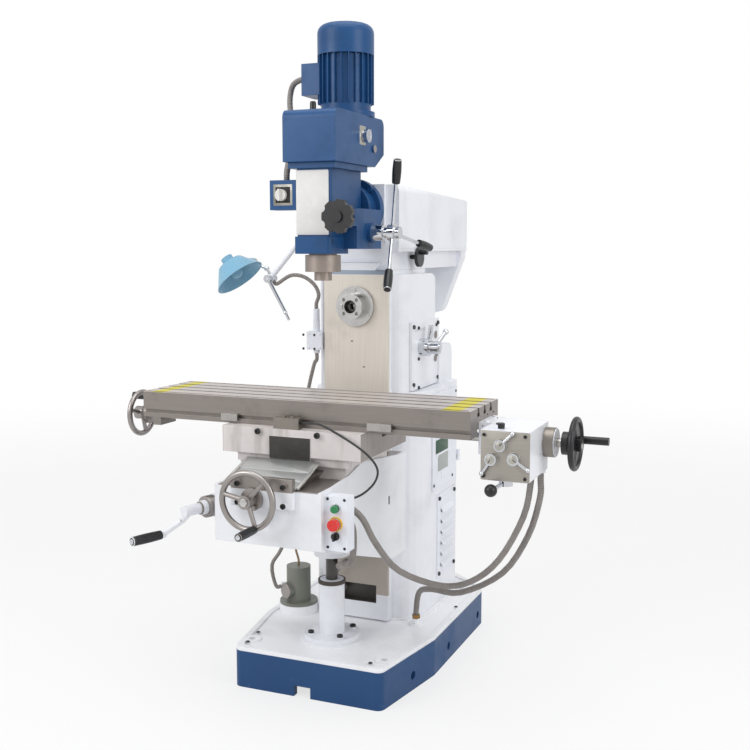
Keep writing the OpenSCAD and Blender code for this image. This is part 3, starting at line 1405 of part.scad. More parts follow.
// Gear housing over the head, and the motor on it
pnn_shaft = 12;
worm_shaft_r = 8;
case_fore = 98;
case_rear = 32;
case_step = 45;
case_chamfer = 44;
case_r = 25;
case_wall = 10;
mot_y = -77;
mot_hole_r = 22;
speed_y = -140;
speed_z = 92;
speed_shaft_r = 6;
plug_y_head = -56;
plug_z = 58;
plug_t = 5;
plug_oval_r = 12;
breather_r = 10;
case_top = case_z + case_h;
mot_at = [0, fore_y + mot_y];
module case_plan(t) polygon(rnd([[head_y - case_fore + t, case_z + t, 0],
  [head_y - case_fore + t, case_top - t, case_r - t],
  [fore_y + case_rear - t, case_top - t, case_r - t],
  [fore_y + case_rear - t, case_z + case_step + t / 2, 0],
  [fore_y - case_chamfer - t / 2, case_z + t, 0]]));
module gear_housing() color(blue) {
  difference() {
    side_prism(-case_half, 2 * case_half) case_plan(0);
    side_prism(case_wall - case_half, 2 * (case_half - case_wall))
      case_plan(case_wall);
    bar_z([0, head_y, case_z - cut], hub_bore_r + gap, case_wall + 2 * cut);
    bar_z([mot_at.x, mot_at.y, case_top - case_wall - cut], mot_hole_r,
      case_wall + 2 * cut);
    bar_x([case_half - case_wall - cut, fore_y + speed_y, case_z + speed_z],
      speed_shaft_r + fit, case_wall + 2 * cut);
  }
  bar_x([case_half - cut, fore_y + plug_y_head, case_z + plug_z], plug_oval_r, plug_t + cut);
  bar_x([-case_half - plug_t, fore_y + speed_y, case_z + speed_z], breather_r, plug_t + cut);
}
mot_flg_r = 95;
mot_flg_t = 17;
mot_body_r = 82;
mot_h = 197;
mot_fins = 24;
mot_fin_t = 3;
mot_fin_low = 42;
stator_bore_r = 52;
mot_floor = 22;
mot_roof = 10;
term_box = [69, 104, 102];
term_z = 72;
mot_shaft_reach = 78;
rotor_r = 50;
rotor_gap = 10;
fan_r = 66;
fan_t = 18;
fan_clear = 7;
fan_blades = 8;
head_pul_r = 40;
quill_pul_r = 60;
head_pul_z = 92;
head_pul_t = 30;
module head_motor() color(blue) at([mot_at.x, mot_at.y, case_top]) difference() {
  union() {
    cylinder(r = mot_flg_r, h = mot_flg_t);
    cylinder(r = mot_body_r, h = mot_h);
    for (k = [0 : mot_fins - 1]) rotate(360 * k / mot_fins)
      box([mot_body_r - cut * 3, -mot_fin_t / 2, mot_fin_low],
        [mot_r, mot_fin_t / 2, mot_h]);
    at([-mot_body_r - term_box.x + cut * 14, -term_box.y / 2, term_z])
      cube(term_box);
  }
  bar_z([0, 0, mot_floor], stator_bore_r, mot_h - mot_floor - mot_roof);
  bar_z([0, 0, -cut], mot_shaft_r + fit, mot_h + 2 * cut);
}
cowl_h = 100;
cowl_t = 3;
cowl_dome = 30;
module fan_cover() color(blue) at([mot_at.x, mot_at.y, case_top + mot_h]) rotate_extrude()
  polygon(concat([[mot_r - cowl_t, 0], [mot_r, 0]],
    [for (a = [0 : 15 : 90]) [mot_r - cowl_dome + cowl_dome * cos(a), cowl_h - cowl_dome
      + cowl_dome * sin(a)]], [[0, cowl_h], [0, cowl_h - cowl_t]],
    [for (a = [90 : -15 : 0]) [mot_r - cowl_dome + (cowl_dome - cowl_t) * cos(a), cowl_h - cowl_dome
      + (cowl_dome - cowl_t) * sin(a)]]));
module motor_shaft() color(steel) at([mot_at.x, mot_at.y, 0]) {
  bar_z([0, 0, case_top - mot_shaft_reach], mot_shaft_r, mot_shaft_reach + mot_h + fan_clear
    + fan_t);
  bar_z([0, 0, case_z + head_pul_z], head_pul_r, head_pul_t);
  bar_z([0, 0, case_top + mot_floor + rotor_gap], rotor_r, mot_h - mot_floor - mot_roof
    - 2 * rotor_gap);
  bar_z([0, 0, case_top + mot_h + fan_clear], fan_r / 3, fan_t);
  for (k = [0 : fan_blades - 1]) rotate(360 * k / fan_blades)
    box([0, -mot_fin_t / 2, case_top + mot_h + fan_clear],
      [fan_r, mot_fin_t / 2, case_top + mot_h + fan_clear + fan_t]);
}
head_belt_t = 7;
module head_belt() color(black) at([mot_at.x, mot_at.y, case_z + head_pul_z + gap])
  rotate(180) belt(head_pul_r + gap, quill_pul_r + gap, mot_at.y - head_y, head_belt_t,
    head_pul_t - 2 * gap);
pul_hub_top = 40;
spline_clear = 0.3;
module spindle_pulley() color(steel) at([0, head_y, 0]) difference() {
  union() {
    bar_z([0, 0, case_z + head_pul_z], quill_pul_r, head_pul_t);
    bar_z([0, 0, case_z - hub_seat + gap], hub_bore_r, hub_seat + head_pul_z + pul_hub_top);
  }
  cylinder(r = spin_tail_r + spline_clear, h = case_top);
}

// Quill and spindle
clr_h = 53;
nose_h = 28;
clr_gap = 4;
taper_r = 15.9;
taper_d = 50;
vspindle_bore_r = 7;
quill_z = tilt_z - clr_low - clr_gap - clr_h;
module quill() color(steel) at([0, head_y, 0]) difference() {
  union() {
    bar_z([0, 0, quill_z], clr_d / 2, clr_h);
    bar_z([0, 0, quill_z], quill_d / 2, tilt_z + quill_top - quill_z);
  }
  cylinder(r = spin_shaft_r + fit, h = 2 * tilt_z);
}
module spindle() color(steel) at([0, head_y, quill_z - nose_h]) difference() {
  union() {
    cylinder(r = vnose_d / 2, h = nose_h - gap);
    cylinder(r = spin_shaft_r, h = tilt_z + quill_top - quill_z + nose_h);
    cylinder(r = spin_tail_r, h = case_z + head_pul_z + pul_hub_top - quill_z + nose_h);
  }
  at([0, 0, -cut]) cylinder(r1 = taper_r + cut * 7 / 48, r2 = taper_r - taper_d * 7 / 48,
    h = taper_d + cut);
  cylinder(r = vspindle_bore_r, h = 2 * tilt_z);
}

// Feed lever with three grips, fine feed wheel, and the two knobs
lev_hub_r = 26;
lev_hub_t = 35;
lev_neck_r = 18;
lev_neck_t = 18;
lev_disc_r = 28;
lev_disc_t = 22;
lev_cap_r = 20;
lev_cap_t = 16;
lev_spoke_r = 6;
lev_splay = 46;
lev_grip_r = 12.5;
lev_grip_len = 75;
lev_angs = [-18, -138, 102];
lev_x = head_half + feed_w + lev_boss_t + gap;
module quill_feed_lever() at([0, lev_axis.x, lev_axis.y]) {
  disc_x = lev_x + lev_hub_t + lev_neck_t;
  mid = disc_x + lev_disc_t / 2;
  color(steel) {
    bar_x([head_half + gap, 0, 0], pnn_shaft, lev_x - head_half);
    bar_x([lev_x, 0, 0], lev_hub_r, lev_hub_t);
    bar_x([lev_x, 0, 0], lev_neck_r, lev_hub_t + lev_neck_t + cut);
    bar_x([disc_x, 0, 0], lev_disc_r, lev_disc_t);
    bar_x([disc_x, 0, 0], lev_cap_r, lev_disc_t + lev_cap_t);
    for (a = lev_angs) rod([mid, 0, 0], [mid + lev_splay, lev_reach * sin(a),
      lev_reach * cos(a)], lev_spoke_r);
  }
  color(black) for (a = lev_angs) let (tip = [lev_splay, lev_reach * sin(a), lev_reach * cos(a)],
    root = tip * (1 - lev_grip_len / lev_reach))
    rod([mid, 0, 0] + root, [mid, 0, 0] + tip, lev_grip_r);
}
fine_r = 52;
fine_t = 22;
fine_clear = 7;
fine_lobes = 7;
fine_notch_r = 13;
fine_hub_r = 18;
fine_shaft_len = 80;
module fine_feed_wheel() color(black) {
  y = head_y - worm_fore - fine_clear - fine_t;
  difference() {
    bar_y([worm_at.x, y, worm_at.y], fine_r, fine_t);
    for (k = [0 : fine_lobes - 1]) let (a = 360 * k / fine_lobes) bar_y([worm_at.x
      + (fine_r + fine_notch_r / 2) * cos(a), y - cut, worm_at.y + (fine_r + fine_notch_r / 2) * sin(a)],
      fine_notch_r, fine_t + 2 * cut);
  }
  bar_y([worm_at.x, y - fine_clear, worm_at.y], fine_hub_r, fine_clear + cut);
  bar_y([worm_at.x, y + fine_t - cut, worm_at.y], worm_shaft_r, fine_clear + fine_shaft_len);
}
speed_r = 21;
speed_t = 20;
module speed_knob() color(chrome) at([0, fore_y + speed_y, case_z + speed_z]) {
  bar_x([case_half + gap, 0, 0], speed_r, speed_t);
  bar_x([case_half - case_wall, 0, 0], speed_shaft_r, case_wall + speed_t);
  box([case_half + speed_t, -speed_shaft_r / 2, -speed_r * 0.9],
    [case_half + speed_t + speed_shaft_r, speed_shaft_r / 2, speed_r * 0.9]);
}
sw_r = 18.5;
sw_t = 12;
module switch_knob() color(white) at([sw_at.x, head_y - head_fore, sw_at.y]) {
  bar_y([0, -sw_t - gap, 0], sw_r, sw_t);
  bar_y([0, -gap - cut, 0], sw_shaft_r, sw_shaft_d - 2 * cut);
  box([-sw_shaft_r / 2, -2 * sw_t, -sw_r], [sw_shaft_r / 2, -sw_t, sw_r]);
}

// Conduits and hoses, each along places chosen by eye
conduit_r = 10;
cable_r = 4;
hose_r = 7;
pan_route = [[234, -639.7, 685], [234, -622, 685], [260, -600, 650], [290, -570, 570], [328, -480, 468],
  [400, -310, 380], [500, -306, 404], [600, -338, 496], [676, -346, 640], [698, -350, 752],
  [698, -350, 792.7]];
base_route = [[217, -35, 156.3], [217, -35, 182], [240, -66, 262], [330, -190, 322], [450, -250, 345],
  [590, -262, 430], [680, -300, 570], [724, -340, 700], [727, -348, 758], [727, -348, 792.7]];
module feed_conduits() color(grey) {
  hose(pan_route, conduit_r);
  hose(base_route, conduit_r);
}
knee_route = [[225, -639.7, 650], [225, -622, 650], [226, -596, 612], [210, -560, 536], [177, -512, 482],
  [110, -420, 448], [56, -330, 408], [34, -215, 390], [-20, -170, 350], [-62, -110, 280],
  [-62, -60, 232], [-62, -20.3, 232]];
module knee_cables() color(grey) hose(knee_route, conduit_r);
pump_route = [[-285.3, -88.1, 225], [-303, -97, 225], [-325, -84, 296], [-296, -64, 356], [-244, -56, 500],
  [-214, -52, 700], [-196, -52, 900], [-166, -52, 1030], [-155, -50, 1052], [-155, -50, 1075.7]];
mot_route = [[-229, -60, 300.3], [-229, -60, 322], [-250, -44, 380], [-252, 10, 500], [-246, 80, 600],
  [-244, 124, 676], [-232, 130, 700], [-215.3, 130, 700]];
noz_route = [[-155, -50, 1231.3], [-155, -50, 1250], [-145, -52, 1280], [-160, -54, 1314],
  [-200, -57, 1342], [-250, -60, 1346], [-304, -60, 1316], [-316.6, -60, 1324.8]];
module coolant_lines() color(grey) {
  hose(pump_route, hose_r);
  hose(mot_route, cable_r);
  hose(noz_route, hose_r);
}
head_route = [[-137.3, -140, 2001], [-156, -140, 2001], [-192, -140, 1984], [-204, -142, 1934],
  [-190, -160, 1860], [-150, -240, 1770],
  [-112, -340, 1700], [-106, -359, 1676], [-106, -359, 1655.3]];
module head_conduit() color(grey) hose(head_route, conduit_r);

base();
column();
louvre_panel();
cabinet_door();
spindle_flange();
horizontal_motor();
motor_pulley();
drive_belt();
horizontal_spindle();
gear_lever_inner();
gear_lever_outer();
elevating_tube();
coolant_pump();
valve_block();
knee();
pushbutton_box();
start_button();
stop_button();
selector_knob();
elevating_screw();
elevating_crank();
cross_screw();
cross_handwheel();
way_cover();
saddle();
limit_switch();
table();
trip_dogs();
feed_gearbox();
feed_dial_1();
feed_dial_2();
feed_dial_3();
feed_lever();
table_screw();
left_handwheel();
right_handwheel();
ram();
ram_cover();
arbor_support();
ram_handwheel();
lamp_arm();
lamp_shade();
coolant_nozzle();
head_body();
gear_housing();
head_motor();
fan_cover();
motor_shaft();
head_belt();
spindle_pulley();
quill();
spindle();
quill_feed_lever();
fine_feed_wheel();
speed_knob();
switch_knob();
feed_conduits();
knee_cables();
coolant_lines();
head_conduit();
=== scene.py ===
# %% [markdown]
# # A knee-type drilling and milling machine
# The machine is already measured: its solids come in as a fixed frame, in metres. X runs along
# the table, Y to the back and Z up. This lesson dresses that frame: each solid gets a finish made
# of nodes, and small parts that the solids leave out are modelled on top of it.

# %% Load the frame
import math

import bmesh
import bpy
from mathutils import Matrix, Vector


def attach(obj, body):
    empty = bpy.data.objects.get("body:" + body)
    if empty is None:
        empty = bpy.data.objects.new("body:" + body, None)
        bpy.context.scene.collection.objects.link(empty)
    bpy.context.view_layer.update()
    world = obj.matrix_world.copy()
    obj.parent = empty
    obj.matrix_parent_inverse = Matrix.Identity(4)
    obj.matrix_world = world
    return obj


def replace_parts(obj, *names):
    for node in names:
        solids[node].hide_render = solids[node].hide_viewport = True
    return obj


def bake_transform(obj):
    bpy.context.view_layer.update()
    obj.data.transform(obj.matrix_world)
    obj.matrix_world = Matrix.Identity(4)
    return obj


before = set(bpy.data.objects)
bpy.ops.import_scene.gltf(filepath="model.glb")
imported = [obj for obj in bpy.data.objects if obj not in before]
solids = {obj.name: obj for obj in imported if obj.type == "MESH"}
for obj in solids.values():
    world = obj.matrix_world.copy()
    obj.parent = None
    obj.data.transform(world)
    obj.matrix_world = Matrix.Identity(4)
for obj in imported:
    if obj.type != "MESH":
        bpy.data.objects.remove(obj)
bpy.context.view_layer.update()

scene = bpy.context.scene


def linked(name, data):
    """A new object that holds the data, linked to the scene."""
    thing = bpy.data.objects.new(name, data)
    scene.collection.objects.link(thing)
    return thing


# %% [markdown]
# ## The camera
# The photograph was taken from the machine's right front, about half a metre above the table. A
# lens can be guessed by eye, or solved from points whose place is known. It was solved here,
# because the column, the table and the base give long straight lines. So the numbers aren't round.

# %% Camera
lens = bpy.data.cameras.new("photo_camera")
lens.sensor_width = 36
lens.lens = 50.83
camera = linked("photo_camera", lens)
camera.location = (1.466228, -3.391161, 1.455638)
camera.rotation_euler = (math.radians(82.95), 0, math.radians(22.72))
scene.camera = camera
print("camera", tuple(round(c, 3) for c in camera.location), "lens", lens.lens, "mm")

# %% [markdown]
# ## Writing nodes as sums
# A node tree can be wired by hand, link by link, but a formula is easier to read as a sum. The
# class below wraps one output socket. Adding, multiplying or dividing two of them adds the Math
# node that does it, and the reflected forms let `1 - mask` work as well.

# %% A socket that takes part in sums
class Wire:
    def __init__(self, graph, socket):
        self.graph, self.socket = graph, socket

    def math(self, operation, *others):
        values = dict(enumerate((self,) + others))
        return self.graph.add("ShaderNodeMath", {"operation": operation}, values)

    def __add__(self, other):
        return self.math("ADD", other)

    def __sub__(self, other):
        return self.math("SUBTRACT", other)

    def __rsub__(self, other):
        return self.graph.number(other).math("SUBTRACT", self)

    def __mul__(self, other):
        return self.math("MULTIPLY", other)

    def __truediv__(self, other):
        return self.math("DIVIDE", other)

    def __abs__(self):
        return self.math("ABSOLUTE")

    # the order of two numbers makes no difference to a sum or a product
    __radd__, __rmul__ = __add__, __mul__


class Graph:
    def __init__(self, tree):
        self.tree = tree

    def add(self, kind, settings=None, sockets=None, out=0):
        """One node: its settings first, then the values or links of its sockets."""
        node = self.tree.nodes.new(kind)
        for name, value in (settings or {}).items():
            setattr(node, name, value)
        for key, value in (sockets or {}).items():
            if isinstance(value, Wire):
                self.tree.links.new(value.socket, node.inputs[key])
            elif value is not None:
                node.inputs[key].default_value = value
        return Wire(self, node.outputs[out])

    def number(self, value):
        wire = self.add("ShaderNodeValue")
        wire.socket.default_value = value
        return wire


print("sums on sockets are ready")

# %% [markdown]
# ## Colours and places inside a finish
# Every finish below starts from a `Finish`, a material with one Principled shader. It reads Object
# coordinates. The solids sit at the origin, so these are plain metres, and a mask such as "the
# band below 124 mm" is one comparison. Colours are mixed by Mix nodes, never by Math, which would
# turn them grey.

# %% A finish and its tools
def paint(code):
    """A colour as it is written on screen, such as 2a64a6, in linear light."""
    parts = [int(code[i:i + 2], 16) / 255 for i in (0, 2, 4)]
    return tuple(p / 12.92 if p <= 0.04045 else ((p + 0.055) / 1.055) ** 2.4 for p in parts) + (1,)


def darker(colour, by):
    return tuple(c * by for c in colour[:3]) + (1,)


class Finish(Graph):
    def __init__(self, name):
        self.material = bpy.data.materials.new(name)
        self.material.use_nodes = True
        super().__init__(self.material.node_tree)
        self.shader = self.tree.nodes["Principled BSDF"]
        self.place = self.add("ShaderNodeTexCoord", out="Object")
        split = self.add("ShaderNodeSeparateXYZ", {}, {0: self.place}).socket.node
        self.x, self.y, self.z = (Wire(self, split.outputs[i]) for i in range(3))

    def stretched(self, x, y, z):
        return self.add("ShaderNodeMapping", {}, {"Vector": self.place, "Scale": (x, y, z)})

    def noise(self, scale, detail=2.0, rough=0.5, at=None):
        return self.add("ShaderNodeTexNoise", {}, {"Vector": at or self.place, "Scale": scale,
                                                   "Detail": detail, "Roughness": rough})

    def fade(self, value, low, high):
        """0 below low, 1 above high, and a soft step between them."""
        return self.add("ShaderNodeMapRange", {"interpolation_type": "SMOOTHSTEP"},
                        {"Value": value, "From Min": low, "From Max": high})

    def mix(self, first, second, factor):
        return self.add("ShaderNodeMix", {"data_type": "RGBA"}, {0: factor, 6: first, 7: second}, 2)

    def inside(self, value, low, high, soft=0.0005):
        return self.fade(value, low - soft, low + soft) * (1 - self.fade(value, high - soft, high + soft))

    def edges(self, radius):
        """1 on an outer edge, where paint wears off: the rounded normal leaves the flat one."""
        soft = self.add("ShaderNodeBevel", {"samples": 4}, {"Radius": radius})
        flat = self.add("ShaderNodeNewGeometry", out="Normal")
        dot = self.add("ShaderNodeVectorMath", {"operation": "DOT_PRODUCT"}, {0: soft, 1: flat}, "Value")
        barely, fully = 0.02, 0.18
        return soft, self.fade(1 - dot, barely, fully)

    def bump(self, height, distance, normal=None):
        return self.add("ShaderNodeBump", {}, {"Height": height, "Distance": distance, "Normal": normal})

    def done(self, **sockets):
        names = dict(base="Base Color", rough="Roughness", metal="Metallic", normal="Normal",
                     coat="Coat Weight", coat_rough="Coat Roughness", shine="Specular IOR Level")
        for key, value in sockets.items():
            socket = self.shader.inputs[names[key]]
            if isinstance(value, Wire):
                self.tree.links.new(value.socket, socket)
            else:
                socket.default_value = value
        return self.material


print("finish tools are ready")

# %% [markdown]
# ## Enamel on castings
# The frame of the machine is cast iron, filled, rubbed down and sprayed. A plain white would look
# like plastic. Three things make it paint on iron: a wavy surface that bends the highlights, a
# fine orange peel from the spray gun, and a thin grey film of oil and dust that gathers in soft
# patches. Edges are worn a little, and a rounded normal lets them catch the light.

# %% Enamel
def enamel(name, code, wave=0.0006, peel=0.00012, dirt=0.10, rough=0.30, edge=0.0025, coat=0.25,
           shine=0.5, zones=None):
    f = Finish(name)
    base = paint(code)
    soft, worn = f.edges(edge)
    patches = f.fade(f.noise(5, 4, 0.6), 0.46, 0.72)
    specks = f.fade(f.noise(70, 3, 0.6), 0.60, 0.74)
    colour = f.mix(base, darker(base, 1 - dirt), patches)
    colour = f.mix(colour, darker(base, 1 - dirt * 1.5), specks * 0.35)
    colour = f.mix(colour, darker(base, 0.72), worn * f.fade(f.noise(40, 3), 0.5, 0.62) * 0.6)
    height = f.noise(9, 2) + f.noise(330, 2) * (peel / wave)
    gloss = rough + patches * 0.14 + f.noise(22, 2) * 0.06
    metal = None
    if zones:
        colour, gloss, metal = zones(f, colour, gloss)
    sockets = dict(base=colour, rough=gloss, normal=f.bump(height, wave, soft), coat=coat,
                   coat_rough=0.15, shine=shine)
    if metal:
        sockets["metal"] = metal
    return f.done(**sockets)


def ground(f, code, along="x"):
    """Ground or scraped iron: fine lines one way, with broad soft patches of oil."""
    across, lengthwise = 420, 6
    scale = [lengthwise if axis == along else across for axis in "xyz"]
    lines = f.noise(1, 3, 0.6, f.stretched(*scale))
    oil = f.noise(7, 4, 0.6)
    base = paint(code)
    colour = f.mix(darker(base, 0.82), darker(base, 1.12), lines)
    return f.mix(colour, darker(base, 0.78), f.fade(oil, 0.52, 0.75)), lines, oil


print("enamel is ready")

# %% [markdown]
# ## Bare metals, plastics and rubber
# The ways, the table and the screws are bare steel or iron. Ground faces have fine lines that run
# one way, so the noise is stretched along that way. Turned parts and chrome are smoother and keep
# only smudges. Moulded parts get a small grain, because a perfectly smooth black looks like a hole.

# %% Metals
def ground_metal(name, code, along="x", rough=0.36, edge=0.0012, zones=None):
    f = Finish(name)
    soft, worn = f.edges(edge)
    colour, lines, oil = ground(f, code, along)
    colour = f.mix(colour, darker(paint(code), 1.35), worn * 0.6)
    gloss = rough + (lines - 0.5) * 0.18 + (oil - 0.5) * 0.2
    metal = None
    if zones:
        colour, gloss, metal = zones(f, colour, gloss)
    return f.done(base=colour, rough=gloss, metal=metal or 0.9, normal=f.bump(lines, 0.00005, soft))


def turned_metal(name, code, rough=0.24, smudge=0.12, edge=0.0008):
    f = Finish(name)
    soft = f.edges(edge)[0]
    spots = f.noise(24, 4, 0.6)
    rings = f.noise(520, 2)
    base = paint(code)
    colour = f.mix(darker(base, 0.88), base, f.fade(spots, 0.3, 0.6))
    gloss = rough + (spots - 0.5) * smudge * 2 + (rings - 0.5) * 0.05
    return f.done(base=colour, rough=gloss, metal=1.0, normal=f.bump(rings, 0.00003, soft))


print("metals are ready")

# %% Plastics and rubber
def moulded(name, code, rough=0.42, grain=0.00006, dust=0.06, coat=0.0):
    f = Finish(name)
    soft = f.edges(0.0012)[0]
    cloud = f.noise(30, 3, 0.6)
    base = paint(code)
    pale = tuple(min(1, c * 1.25 + 0.012) for c in base[:3]) + (1,)
    colour = f.mix(base, pale, f.fade(cloud, 0.45, 0.75) * (dust * 6))
    gloss = rough + (cloud - 0.5) * 0.16
    return f.done(base=colour, rough=gloss, normal=f.bump(f.noise(900, 2), grain, soft), coat=coat)


print("plastics are ready")

# %% [markdown]
# ## One finish for each kind of surface
# Some castings are painted all over but keep one machined face, such as the slideway of the
# column. Splitting the casting would leave a seam, so the finish itself changes where the place
# says so: these `zones` mix a second colour in and raise Metallic there. Places are in metres.

# %% Castings with a machined face
def base_zones(f, colour, gloss):
    """The skirt is blue up to 124 mm and scuffed near the floor."""
    skirt = 1 - f.fade(f.z, 0.1236, 0.1242)
    blue = f.mix(paint("1b4271"), paint("234d7c"), f.noise(4, 4, 0.6))
    scuff = f.fade(f.noise(26, 4, 0.7), 0.62, 0.72) * (1 - f.fade(f.z, 0.01, 0.09))
    blue = f.mix(blue, paint("4f6f93"), scuff * 0.6)
    return f.mix(colour, blue, skirt), gloss + skirt * 0.06, None


def column_zones(f, colour, gloss):
    """The slideway is ground, with a bare strip above it; painted shade darkens its foot and the opening
    there.
    """
    way = (1 - f.fade(abs(f.x), 0.1203, 0.1207)) * (1 - f.fade(f.y, -0.0480, -0.0475))
    way = way * f.fade(f.z, 0.2290, 0.2296)
    way = way * (1 - f.fade(f.z, 1.3515, 1.352))
    iron = ground(f, "dfd7cc", "z")[0]
    # painted shade: the slideway is darkened towards its foot, under the knee
    low = 1 - f.fade(f.z, 0.36, 0.62)
    iron = f.mix(iron, paint("a69c92"), low * 0.8)
    # painted shade: the opening at the column's foot is painted dark inside
    opening_shade = f.inside(f.x, -0.0765, 0.0765) * f.inside(f.z, 0.1965, 0.2615) * f.inside(f.y, -0.0585, -0.0195)
    strip = f.inside(f.z, 1.3522, 1.3672) * (1 - f.fade(abs(f.x), 0.1155, 0.116))
    colour = f.mix(f.mix(colour, iron, way), paint("8e99a8"), strip)
    colour = f.mix(colour, paint("37302b"), opening_shade)
    metal = (way * 0.2 + strip * 0.7) * (1 - opening_shade)
    return colour, gloss + way * 0.14, metal


def knee_zones(f, colour, gloss):
    """The cross ways on the knee's top are bare."""
    way = f.fade(f.z, 0.7415, 0.7425) * (1 - f.fade(abs(f.x), 0.165, 0.166))
    iron = ground(f, "9d9691", "y")[0]
    return f.mix(colour, iron, way), gloss + way * 0.05, way * 0.8


def saddle_zones(f, colour, gloss):
    """The saddle's ends are bare, and pale streaks run down it."""
    side = f.fade(abs(f.x), 0.2345, 0.2352)
    iron = ground(f, "7d736c", "y")[0]
    streak = f.fade(f.noise(3.0, 4.0, 0.5, f.stretched(6, 40, 1.2)), 0.48, 0.66)
    colour = f.mix(colour, paint("a79f9a"), streak * 0.5)
    return f.mix(colour, iron, side * 0.8), gloss, side * 0.5


base_paint = enamel("base_enamel", "f5f6f9", coat=0.05, shine=0.3, zones=base_zones)
column_paint = enamel("column_enamel", "eceef4", zones=column_zones)
knee_paint = enamel("knee_enamel", "eceef3", zones=knee_zones)
saddle_paint = enamel("saddle_enamel", "dad4d3", wave=0.0004, zones=saddle_zones)
white_cast = enamel("white_enamel", "eceef4")
white_sheet = enamel("sheet_enamel", "e9ecf4", wave=0.0003, peel=0.00005, dirt=0.07, edge=0.0015)
blue_cast = enamel("blue_enamel", "1b4b7d", wave=0.0011, peel=0.00018, dirt=0.26, rough=0.32, coat=0.04,
                   shine=0.3)
pump_paint = enamel("pump_enamel", "77796f", wave=0.0005, rough=0.45, edge=0.002)
motor_paint = enamel("motor_enamel", "8b8a86", wave=0.0004, rough=0.42)
print("enamels are ready")

# %% [markdown]
# ## The table
# The table is ground on top and scraped below, with a plain yellow band across each end. Its top
# face is painted much lighter than its front, partly for the ground finish and partly as painted light
# from above. Inside the T-slots, below the top face, the finish is painted darker as shade. Only a
# hairline down the middle slot is left out of that painted shade.

# %% Table metal
def table_zones(f, colour, gloss):
    top = f.fade(f.z, 0.9772, 0.9777)
    # painted shade: inside the T-slots, below the top face, the iron is darkened
    slot_shade = f.inside(f.y, -0.508, -0.245) * (1 - f.fade(f.z, 0.9765, 0.9772)) * f.fade(f.z, 0.945, 0.946)
    slot_shade = slot_shade * f.fade(abs(f.y + 0.3765), 0.0, 0.001) * (1 - f.fade(abs(f.x), 0.5598, 0.56))
    colour = f.mix(colour, paint("6f655e"), slot_shade * 0.5)
    # painted light: the top face is painted much lighter than the front, partly for its ground finish
    colour = f.mix(colour, paint("d3cac6"), top * 0.75)
    band = (f.inside(f.x, 0.470, 0.528) + f.inside(f.x, -0.528, -0.484)) * top
    yellow = f.mix(paint("d8cc1e"), paint("b9ae1c"), f.noise(18, 4, 0.7))
    return f.mix(colour, yellow, band), gloss + band * 0.12, 0.55 * (1 - band)


table_metal = ground_metal("table_iron", "8f8883", "x", rough=0.36, zones=table_zones)
print("table finish", table_metal.name)

# %% Other finishes
steel = turned_metal("turned_steel", "b5b2ae", 0.26)
dull_steel = turned_metal("dull_steel", "8d8780", 0.40)
quill_steel = ground_metal("quill_steel", "9c918a", "z", rough=0.42)
bright = turned_metal("bright_metal", "c9c8c6", 0.22)
cast_silver = turned_metal("cast_aluminium", "a39d9a", 0.34, 0.2)
chrome = turned_metal("chrome", "d4d6da", 0.09, 0.06)
brass = turned_metal("brass", "9c7a4c", 0.32)
greasy = moulded("greasy_steel", "2b2724", 0.28, coat=0.4)
black_plastic = moulded("black_plastic", "17171a", 0.34)
black_rubber = moulded("black_rubber", "19191a", 0.62)
white_plastic = moulded("white_plastic", "d9d8d4", 0.35)
green_plastic = moulded("green_plastic", "157a45", 0.3, coat=0.3)
red_plastic = moulded("red_plastic", "d4231c", 0.3, coat=0.3)
yellow_plastic = moulded("yellow_plastic", "e2b81a", 0.4)
black_steel = moulded("blackened_steel", "202022", 0.36)
# painted shade: a dark colour laid in for the inside of slots and recesses
recess_shade = moulded("dark_inside", "2a2726", 0.8)
bare_plate = moulded("bare_white_plate", "dcdad8", 0.38, dust=0.05)
tray_metal = ground_metal("tray_metal", "c0c2c1", "x", rough=0.42)
black_plate = moulded("bare_black_plate", "2b2926", 0.5, dust=0.1)
silver_plate = turned_metal("silver_plate", "b8b6ae", 0.36)
green_plate = moulded("bare_green_plate", "1d4a33", 0.4)
lamp_blue = enamel("lamp_enamel", "78adc9", wave=0.0002, rough=0.22, dirt=0.05)
print(len(bpy.data.materials), "finishes in all")

# %% [markdown]
# ## Dressing the solids
# A solid whose shape is right stays as it is and only gets its finish. Assigning it to the mesh's
# one material slot is enough. The way cover, which is replaced later, is dressed too.

# %% Finish of each solid
finish_of = {
    base_paint: ["base"], column_paint: ["column"], knee_paint: ["knee"], saddle_paint: ["saddle"],
    table_metal: ["table"],
    white_cast: ["feed_gearbox", "ram", "arbor_support", "elevating_tube", "ram_cover",
                 "elevating_crank"],
    white_sheet: ["louvre_panel", "cabinet_door", "valve_block", "pushbutton_box"],
    blue_cast: ["head_body", "gear_housing", "head_motor", "fan_cover"],
    pump_paint: ["coolant_pump"], motor_paint: ["horizontal_motor"],
    tray_metal: ["way_cover"],
    steel: ["motor_pulley", "cross_screw", "table_screw", "motor_shaft", "spindle_pulley",
            "trip_dogs"],
    bright: ["horizontal_spindle", "spindle_flange"],
    quill_steel: ["quill", "spindle"],
    cast_silver: ["cross_handwheel", "left_handwheel"],
    chrome: ["feed_lever", "lamp_arm", "coolant_nozzle", "speed_knob", "quill_feed_lever", "gear_lever_inner",
             "gear_lever_outer", "feed_dial_1", "feed_dial_2", "feed_dial_3"],
    dull_steel: ["limit_switch"],
    greasy: ["elevating_screw"],
    black_rubber: ["drive_belt", "head_belt"],
    black_plastic: ["selector_knob", "ram_handwheel",
                    "fine_feed_wheel", "right_handwheel"],
    white_plastic: ["switch_knob"], green_plastic: ["start_button"], red_plastic: ["stop_button"],
    lamp_blue: ["lamp_shade"],
}
for finish, names in finish_of.items():
    for name in names:
        solids[name].data.materials.clear()
        solids[name].data.materials.append(finish)
print("dressed", sum(len(n) for n in finish_of.values()), "solids")

